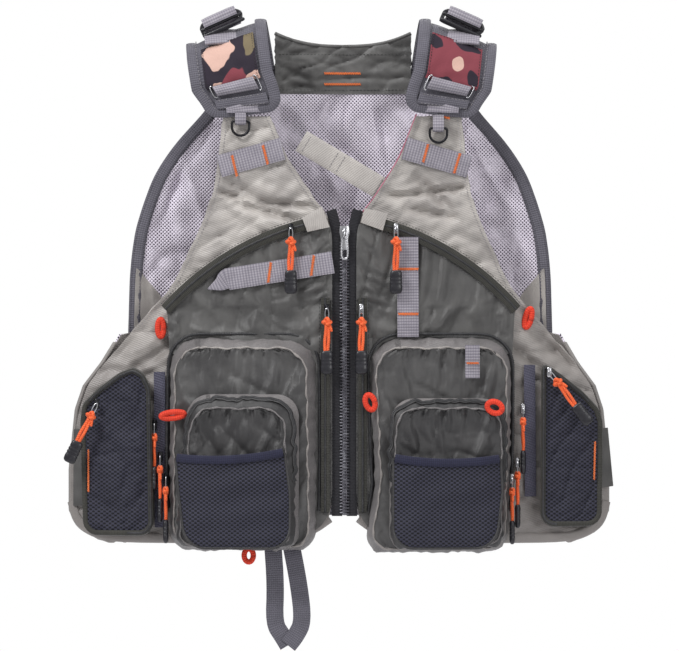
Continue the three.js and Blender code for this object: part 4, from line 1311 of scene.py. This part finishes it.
def make_mesh_pocket(name, side):
    """Open-topped net pocket on the front of the small bag, with its navy binding."""
    body = f"front_{name}"
    left, right = (-166, -52) if name == "l" else (51, 163)
    top = -415
    left_in, right_in = (10, 0) if name == "l" else (0, 10)
    x, z = outline_grid(left=[(top, left), (-450, left + left_in / 3), (-505, left + left_in)],
                        right=[(top, right - 5), (-450, right - right_in / 3), (-505, right - right_in)],
                        top=top, bottom=-505, corners=(2, 20), cols=60, rows=44)
    away = edge_distance(np.stack([x, x * 0, z], -1))
    over = STANDOFF + 41
    depth = over + 1.0 + 7.2 * np.clip(np.minimum(x - left, right - x) / 20, 0, 1) ** 0.6
    depth = depth - 5.0 * np.clip(1 - (z + 505) / 12, 0, 1) ** 2
    share = (x - left) / (right - left)
    sag = 5.0 * (1 - (share * 2 - 1) ** 2) - (7.0 * share if name == "l" else 0.0)
    z = z - sag * np.clip(1 - (top - z) / 40, 0, 1)
    depth += 0.9 * ripples(x, z, 34, 90 + side) * np.clip(away / 8, 0, 1)
    grid = np.stack([x, front_at(x, z) - depth, z], -1)
    made = piece(f"net_pocket_{name}", [sheet(grid, 1.8, coords=np.stack([x, z], -1))], "navy", body)
    lip = grid[0]
    path = resample(lip, 2.0) + np.array([0, -0.4, 0])
    piece(f"net_pocket_binding_{name}", [tube(path, 4.4, 1.9, sides=12, power=2.6)], "navy_tape", body)
    ring = np.concatenate([grid[2:, 0], grid[-1, 1:-1], grid[2:, -1][::-1]])
    piece(f"net_pocket_edge_{name}", [tube(resample(ring, 2.0), 1.5, 1.4, sides=8)], "deep", body)


SIDE_POCKETS = {
    "l": dict(left=[(-329, -211), (-334, -223), (-349, -243), (-364, -258), (-380, -260), (-491, -257)],
              right=[(-329, -208), (-334, -200), (-348, -193.5), (-491, -191)], top=-329, bottom=-491),
    "r": dict(left=[(-326, 202), (-480, 201)],
              right=[(-326, 206), (-336, 220), (-352, 240), (-368, 255), (-380, 259), (-480, 258)], top=-326,
              bottom=-482),
}


def side_grid(name):
    spec = SIDE_POCKETS[name]
    x, z = outline_grid(corners=(2, 12), cols=34, rows=58, **spec)
    return np.stack([x, front_at(x, z) - STANDOFF - 19, z], -1)


def make_side_pocket(name, side, moved):
    body = f"front_{name}"
    grid = side_grid(name)
    x, z = grid[:, :, 0], grid[:, :, 2]
    away = edge_distance(grid)
    rise = soft_cap(-moved[:, :, 1], -2, 6.0)
    rise = rise - 2.4 * folds(x, z, 40, 100 + side, slant=80) - 1.6 * folds(x, z, 26, 104 + side, slant=20)
    rise = np.clip(rise, -3.5, 5.6) * np.clip(away / 8, 0, 1)
    face = grid.copy()
    face[:, :, 1] -= rise
    node = [f"side_pocket_{name}"]
    made = piece(f"side_net_{name}", [sheet(face, 2.0, coords=np.stack([x, z], -1))], "navy", body, node)
    rim = edge_of(face)
    middle = rim.mean(0)
    out = unit((rim - middle) * np.array([1, 0, 1]))
    foot = rim + out * 3.2
    foot[:, 1] = front_at(foot[:, 0], foot[:, 2]) - 0.5
    t = np.linspace(0, 1, 8)[:, None, None]
    wall = foot[None] * (1 - t) + rim[None] * t + out[None] * 1.6 * np.sin(math.pi * t)
    inside = wall - out[None] * 1.3
    piece(f"side_wall_{name}", [between(wall, inside, wrap=True)], "dark", body)
    closed = resample(np.vstack([rim, rim[:1]]), 2.0)[:-1]
    piece(f"side_binding_{name}", [tube(closed + np.array([0, -0.6, 0]), 2.6, 1.7, sides=10, closed=True)],
          "band", body)
    zip_line = closed[(closed[:, 2] > -360) | (abs(closed[:, 0]) < 215)]
    turns = np.unwrap(np.arctan2(zip_line[:, 2] - middle[2], zip_line[:, 0] - middle[0]))
    zip_line = zip_line[np.argsort(turns)]
    gaps = np.linalg.norm(np.diff(zip_line, axis=0), axis=1)
    cut = int(np.argmax(gaps)) + 1
    if gaps.max() > 8:
        zip_line = np.concatenate([zip_line[cut:], zip_line[:cut]])
    piece(f"side_coil_{name}", [coil(zip_line + np.array([0, -2.2, 0]), 1.3, 1.7)], "coil", body)

    # Webbing strip between the side pocket and the large one.
    strip = [(-183, -330), (-182, -486)] if name == "l" else [(188, -323), (189, -455)]
    path, normals = on_surface(strip, 0.6, outwards(front_at, 2.0))
    piece(f"side_strip_{name}", [ribbon(path, normals, 11.5, 1.5)], "heather", body)


def ring_loop(x, z, wide, high, base, lift, tilt=0.0, tube_half=2.9):
    """A soft ribbed cord loop lying on a surface."""
    turn = np.linspace(0, math.tau, 30, endpoint=False)
    a, b = (wide / 2 - tube_half) * np.cos(turn), (high / 2 - tube_half) * np.sin(turn)
    lean = math.radians(tilt)
    px = x + a * math.cos(lean) - b * math.sin(lean)
    pz = z + a * math.sin(lean) + b * math.cos(lean)
    y = float(base(np.array([x]), np.array([z]))[0]) - lift - tube_half * 0.8
    return tube(np.stack([px, np.full(30, y) - 0.6 * np.sin(turn), pz], -1), tube_half, tube_half * 0.8,
                sides=10, closed=True)


def make_trims(name):
    """Loose webbing, tacks, tabs and loops of one front."""
    body = f"front_{name}"
    chest = outwards(front_at, STANDOFF + CHEST_DEPTH + GAP)
    orange = []
    lift = 1.9
    if name == "l":
        band_ends = [(-116, -237.5), (-9, -220.5)]
        flat = resample([(-134, -247), (-122, -242), *band_ends], 2.0)
        path, normals = on_surface(flat, 0.3, chest)
        width = np.clip(1.5 + (flat[:, 0] + 134) * 1.05, 1.5, 22)
        width = np.interp(np.linspace(0, 1, len(path)), np.linspace(0, 1, len(width)), width)
        web = [ribbon(path, normals, width, 1.6, across=10)]
        for at in (-72, -29):
            mid = -237.5 + (at + 116) * 17 / 107
            orange.append(tack((at - 1.6, mid - 10), (at + 1.2, mid + 10), chest, lift + 0.3))
    else:
        path, normals = on_surface([(65.5, -195), (66, -295)], 0.3, chest)
        web = [ribbon(path, normals, 21.5, 1.6, across=10)]
        for at in (-227, -272):
            orange.append(tack((56, at), (76, at), chest, lift + 0.3))
    piece(f"chest_band_{name}", web, "webbing", body, [f"chest_webbing_{name}"])

    # The band across the strap, with its two tacks.
    if name == "l":
        ends = [(-123, -124), (-59.5, -106.5)]
        tacks = [((-110, -113), (-105, -134)), ((-79, -103), (-74, -122))]
    else:
        ends = [(62.5, -106), (127.5, -124.5)]
        tacks = [((86, -102), (81, -120)), ((118, -111), (112, -131))]
    path, normals = on_surface(ends, 0.3)
    made = piece(f"strap_band_{name}", [ribbon(path, normals, 22.5, 1.7, across=10)], "webbing", None,
                 [f"shoulder_band_{name}"])
    bend_strap(made)
    made = piece(f"strap_tacks_{name}", [tack(a, b, front_at, 2.3) for a, b in tacks], "thread")
    bend_strap(made)

    # Zip garage at the inner end of the diagonal zip.
    garage = [(-37, -183), (-16, -175)] if name == "l" else [(20.5, -173.5), (43, -180)]
    path, normals = on_surface(garage, 0.5, outwards(front_at, STANDOFF + 8.8))
    width = np.linspace(*((15, 22) if name == "l" else (15, 18)), len(path))
    piece(f"zip_garage_{name}", [ribbon(path, normals, width, 1.6)], "light", body)

    # Orange cord loops.
    big = outwards(front_at, STANDOFF + 24)
    panel = front_at
    if name == "l":
        loops = [ring_loop(-182, -286, 12, 23, panel, 0.5), ring_loop(-169, -373, 29, 12, big, 1.5, 6),
                 ring_loop(-93.5, -514, 15, 19, panel, -6)]
    else:
        loops = [ring_loop(187, -276, 12, 25, panel, 0.5, -14), ring_loop(28, -360, 15, 21, big, -2, 18),
                 ring_loop(152, -365, 21, 17, big, 15, -20)]
    piece(f"cord_loops_{name}", loops, "loop", body)

    if name == "r":
        path, normals = on_surface([(130, -303), (130, -336)], 0.6, outwards(front_at, STANDOFF + 26.5))
        piece("pocket_tab_r", [ribbon(path, normals, 14.5, 1.7)], "webbing", body)
        orange.append(tack((124, -321), (136, -321), outwards(front_at, STANDOFF + 26.5), 3.0, 1.8))
        flat = [(261, -387), (266.5, -446)]
        width = 14
        orange.append(tack((253.5, -400), (252.5, -438), outwards(front_at, STANDOFF + 20.5), 0.8, 1.6))
    else:
        flat = [(-264.5, -388), (-265, -465)]
        width = 11
        orange.append(tack((-254, -408), (-254, -450), outwards(front_at, STANDOFF + 20.5), 0.8, 1.6))
    path, normals = on_surface(flat, 0.4)
    piece(f"side_tab_{name}", [ribbon(path, normals, width, 1.8)], "dark", body)
    piece(f"tacks_{name}", orange, "thread", body)


# ------------------------------------------------------------------ centre zip
def make_centre_zip():
    y = FRONT_Y - 1.2
    for name, side in SIDES.items():
        body = f"front_{name}"
        outline = [(13.5, -168), (11, -176), (8.6, -188), (7.4, -210), (7.4, -474)]
        line = [(side * h, z) for h, z in outline]
        flat = resample(rounded(np.array(line, float), 2), 2.5)
        path = np.stack([ZIP_X + flat[:, 0], np.full(len(flat), y + 0.6), flat[:, 1]], -1)
        tape = ribbon(path, TOWARDS_FRONT, 10.5, 1.0)
        piece(f"centre_tape_{name}", [tape], "tape", body, [f"zip_tape_{name}"])
        teeth = []
        pitch = 3.1
        for k in range(int((474 - 201) / pitch)):
            z = -201 - pitch * (k + (0.5 if name == "r" else 0.0))
            inner, outer = ZIP_X - side * 1.5, ZIP_X + side * 4.6
            block = np.array([(inner, y - 1.2, z), (inner + side * 1.2, y - 1.6, z),
                              (outer - side * 1.6, y - 1.5, z), (outer, y - 1.1, z)])
            teeth.append(tube(block, [0.85, 1.05, 0.9, 0.75], [1.1, 1.45, 1.25, 0.8], sides=6, power=3))
        nodes = ["zip_chain"] if name == "l" else []
        piece(f"centre_teeth_{name}", teeth, "teeth", body, nodes)

    slider_y = y - 4.9
    top, low = -184, -201
    mid = np.linspace(top, low, 9)
    wide = np.interp(mid, [low, -196, -190, top], [3.6, 4.0, 5.3, 4.6])
    body_path = np.stack([np.full(9, ZIP_X), np.full(9, slider_y), mid], -1)
    shells = [tube(body_path, wide, [1.0, 1.4, 1.5, 1.5, 1.4, 1.4, 1.4, 1.3, 0.9], sides=12, power=3)]
    bridge = [(slider_y - 1.2, -187), (slider_y - 3.9, -188.5),
              (slider_y - 3.9, -195), (slider_y - 1.2, -197)]
    bridge = resample(rounded(np.array(bridge), 2), 1.0)
    shells.append(tube(np.stack([np.full(len(bridge), ZIP_X), bridge[:, 0], bridge[:, 1]], -1), 1.5, 0.8,
                       sides=8, up=np.array([0.2, -0.5, 0.8])))
    piece("centre_slider", shells, "metal", "main_slider", ["main_slider"])
    pull_y = y - 5.8
    ring = [(-1.6, -189), (1.6, -189), (3.6, -198), (4.2, -214),
            (2.6, -217), (-2.6, -217), (-4.2, -214), (-3.6, -198)]
    ring = rounded(np.array([*ring, ring[0]], float), 1)
    ring = resample(ring, 1.4)[:-1]
    frame_path = np.stack([ZIP_X + ring[:, 0] * 0.78, np.full(len(ring), pull_y), ring[:, 1]], -1)
    pull = [tube(frame_path, 1.0, 0.8, sides=8, closed=True)]
    plate = np.stack([np.full(6, ZIP_X), np.full(6, pull_y), np.linspace(-191, -208, 6)], -1)
    pull.append(tube(plate, [1.2, 1.9, 2.5, 2.8, 3.0, 3.0], 0.6, sides=8, power=4))
    piece("centre_pull", pull, "metal", "main_pull", ["main_pull"])


# ------------------------------------------------------------------ cord pulls
def make_pull(name, x, y, z, lean, edge_on):
    """A slider and the cord pull that hangs from it: wire eye, knot, two strands and a moulded grip."""
    node = f"slider_{name}"
    lengths = np.array([-5, -4, -1.5, 1.5, 4, 5])
    path = np.stack([np.full(6, x), np.full(6, y), z + lengths], -1)
    shells = [tube(path, [1.9, 2.5, 2.6, 2.6, 2.4, 1.7], [0.9, 1.4, 1.5, 1.5, 1.4, 0.9], sides=12, power=3)]
    arch = [(y - 1.0, z + 3.6), (y - 2.7, z + 3.0), (y - 2.7, z - 1.6), (y - 1.0, z - 2.6)]
    arch = resample(rounded(np.array(arch), 2), 0.8)
    shells.append(tube(np.stack([np.full(len(arch), x), arch[:, 0], arch[:, 1]], -1), 0.9, 0.6, sides=8,
                       up=np.array([0.2, -0.5, 0.8])))
    piece(f"zip_slider_{name}", shells, "metal" if name.endswith("r") else "black_metal", node, [node])

    angle = math.radians(lean)
    down = np.array([math.sin(angle), 0, -math.cos(angle)])
    out = np.array([math.cos(angle), 0, math.sin(angle)])
    front = np.array([0.0, -1.0, 0.0])
    if edge_on:
        out, front = front, out
    origin = np.array([x, y - SLIDER_HALF - GAP - (6.6 if edge_on else 3.6), z])

    def place(points):
        points = np.asarray(points, float)
        return origin + points[:, :1] * down + points[:, 1:2] * out + points[:, 2:] * front

    body = f"pull_{name}"
    eye = np.array([(-1.0, 0, 0), (0.5, 1.5, 0), (6, 2.0, 0), (11, 1.2, 0),
                    (11, -1.2, 0), (6, -2.0, 0), (0.5, -1.5, 0)])
    eye = rounded(np.vstack([eye, eye[:1]]), 2)
    wire = [tube(place(resample(eye, 1.0)[:-1]), 0.55, sides=6, closed=True)]
    piece(f"pull_wire_{name}", wire, "metal", body)

    a = np.linspace(0, math.tau, 44, endpoint=False)
    knot = np.stack([13.2 + 2.9 * np.cos(3 * a) * 0.35 + 2.6 * (np.cos(a) - 2 * np.cos(2 * a)) / 3,
                     3.9 * (np.sin(a) + 2 * np.sin(2 * a)) / 3 * 1.05,
                     -1.5 * np.sin(3 * a)], -1)
    shells = [tube(place(knot), 1.95 * (0.92 if edge_on else 1), sides=8, closed=True)]
    run = np.linspace(15, 43.5, 22)
    for sign in (-1, 1):
        sway = sign * (1.6 + 0.25 * np.sin(run / 4)) + 0.5 * np.sin(run / 9)
        strand = np.stack([run, sway, 0.35 * np.sin(run / 5 + sign)], -1)
        shells.append(tube(place(strand), 1.65, 1.55, sides=8))
    shells.append(domed(place([(14.5, 2.0, 0), (18, 3.7, 0.4), (21.5, 4.6, 0.6)]), 1.35, sides=8))
    piece(f"pull_cord_{name}", shells, "cord", body, [body])

    at = np.array([41.5, 42.2, 43.5, 45, 48, 49, 50, 51.5, 52.5, 53.5, 55, 56, 57, 60, 62.5, 64, 65])
    wide = np.array([3.2, 4.8, 5.7, 6.0, 6.1, 5.6, 6.15, 6.2, 5.7, 6.25, 6.3, 5.8, 6.35, 6.4, 6.1, 5.2, 3.4])
    deep = np.array([1.5, 2.2, 2.6, 2.8, 2.8, 2.5, 2.8, 2.8, 2.5, 2.8, 2.8, 2.5, 2.8, 2.8, 2.6, 2.1, 1.2])
    line = place(np.stack([at, 0 * at, 0 * at], -1))
    piece(f"pull_grip_{name}", [tube(line, wide, deep, sides=16, power=3, up=front)], "plastic", body)


def make_pulls():
    for name, side in SIDES.items():
        angle = math.radians(ARC["slider"])
        h, z = ARC["h"] + ARC["r"] * math.cos(angle), ARC["z"] + ARC["r"] * math.sin(angle)
        lift = STANDOFF + CHEST_DEPTH + GAP + WEBBING + GAP + SLIDER_HALF
        make_pull(f"upper_{name}", at_x(side, h), front_y(h, z) - lift, z, 0, False)
        make_pull(f"centre_{name}", at_x(side, 17.2), front_y(17.2, -267) - lift, -267, 0, False)
        h, z, lean = (243, -362, -26) if name == "l" else (209, -330, 38)
        pull_y = front_y(h, z) - STANDOFF - SIDE_DEPTH - SIDE_LIFT - SLIDER_HALF
        make_pull(f"side_{name}", at_x(side, h), pull_y, z, lean, False)
        lane = [186.6, 180.8, 175] if name == "l" else [182.6, 176.8, 171]
        start = [-383, -415, -436] if name == "l" else [-367, -421, -437]
        for zip_name, h, z, lift in zip(("big_a", "big_b", "small"), lane, start, (4, 9, 14)):
            make_pull(f"{zip_name}_{name}", at_x(side, h), front_y(h, z) - 2.4 - lift, z, 0, True)


# ------------------------------------------------------------------ rings and loose straps
def make_rings():
    for name, side in SIDES.items():
        h, z = (102, -79) if name == "l" else (96, -86)
        x, y = at_x(side, h), front_y(h, z) - 4.4
        ring = wire_loop(x, y, z, 20, 17, 2.6)
        piece(f"d_wire_{name}", [ring], "black_metal", f"d_ring_{name}", [f"d_ring_{name}"])
        tab = hanging_tab(x, y, z, 11, 17, float(front_at([x], [z + 17])[0]) - 1.0)
        piece(f"d_tab_{name}", [tab], "webbing", "back")
        ends = [(x - 8, z + 12), (x + 8, z + 12)] if name == "l" else [(x - 10.5, z + 17), (x + 11, z + 10)]
        line = tack(*ends, front_at, 2.8, 2.4)
        piece(f"d_tab_tack_{name}", [line], "thread", "back")


def make_rod_loop():
    y = FRONT_Y + 12
    left = [(-69.5, -500), (-66.5, -544), (-68, -582), (-60, -594), (-54, -604)]
    right = [(-51.5, -500), (-43, -544), (-39, -580), (-46, -594), (-54, -604)]
    shells = []
    for k, line in enumerate((left, right)):
        flat = resample(rounded(np.array(line, float), 2), 2.0)
        sway = 0.6 * np.sin((flat[:, 1] + 500) / 22) + 1.7 * k
        path = np.stack([flat[:, 0], y - sway, flat[:, 1]], -1)
        shells.append(ribbon(path, TOWARDS_FRONT, 17.5, 1.5, across=8))
    piece("folded_loop", shells, "binding", "front_l", ["rod_loop"])


def make_chest_strap():
    start, end = np.array([38, -145.5]), np.array([-41, -98])
    flat = resample([start, end], 2.0)
    t = np.clip((36 - flat[:, 0]) / 80, 0, 1)
    wave = 0.8 * np.sin(t * 7)
    path = np.stack([flat[:, 0], FRONT_Y + 14 + 12 * t + wave, flat[:, 1]], -1)
    shells = [ribbon(path, TOWARDS_FRONT, 23, 2.0, across=12)]
    made = piece("inner_chest_strap", shells, "light", "front_r", ["chest_strap"])
    seams = []
    for at in (0.04, 0.52, 0.6, 0.95):
        middle = path[int(at * (len(path) - 1))] + np.array([0, -2.1, 0])
        cross = np.array([0.516, 0, 0.857])
        seams += stitches(np.array([middle - cross * 10, middle + cross * 10]), TOWARDS_FRONT, 3.0)
    piece("chest_strap_stitches", seams, "pale_thread", "front_r")


# ------------------------------------------------------------------ everything
set_stage()
for side_name, side_sign in SIDES.items():
    for size, force, slack in (("big", 2.2, 0.06), ("small", 2.0, 0.05)):
        key = f"{size}_{side_name}"
        to_settle(key, bag_face(BAGS[key])[0], force, slack)
    to_settle(f"side_{side_name}", side_grid(side_name), 1.6, 0.05)
    to_settle(f"chest_{side_name}", chest_grid(side_sign), 0.6, 0.05)
settled = settle()

make_back()
make_yoke()
make_net_ring()
make_back_pocket()
for side_name, side_sign in SIDES.items():
    make_pad(side_name, side_sign)
    make_adjuster(side_name, side_sign)
    make_front_panel(side_name, side_sign)
    make_side_fold(side_name, side_sign)
    make_chest(side_name, side_sign, settled[f"chest_{side_name}"])
    make_bag(side_name, f"big_{side_name}", settled[f"big_{side_name}"])
    make_bag(side_name, f"small_{side_name}", settled[f"small_{side_name}"])
    make_mesh_pocket(side_name, side_sign)
    make_side_pocket(side_name, side_sign, settled[f"side_{side_name}"])
    make_trims(side_name)
make_centre_zip()
make_pulls()
make_rings()
make_rod_loop()
make_chest_strap()
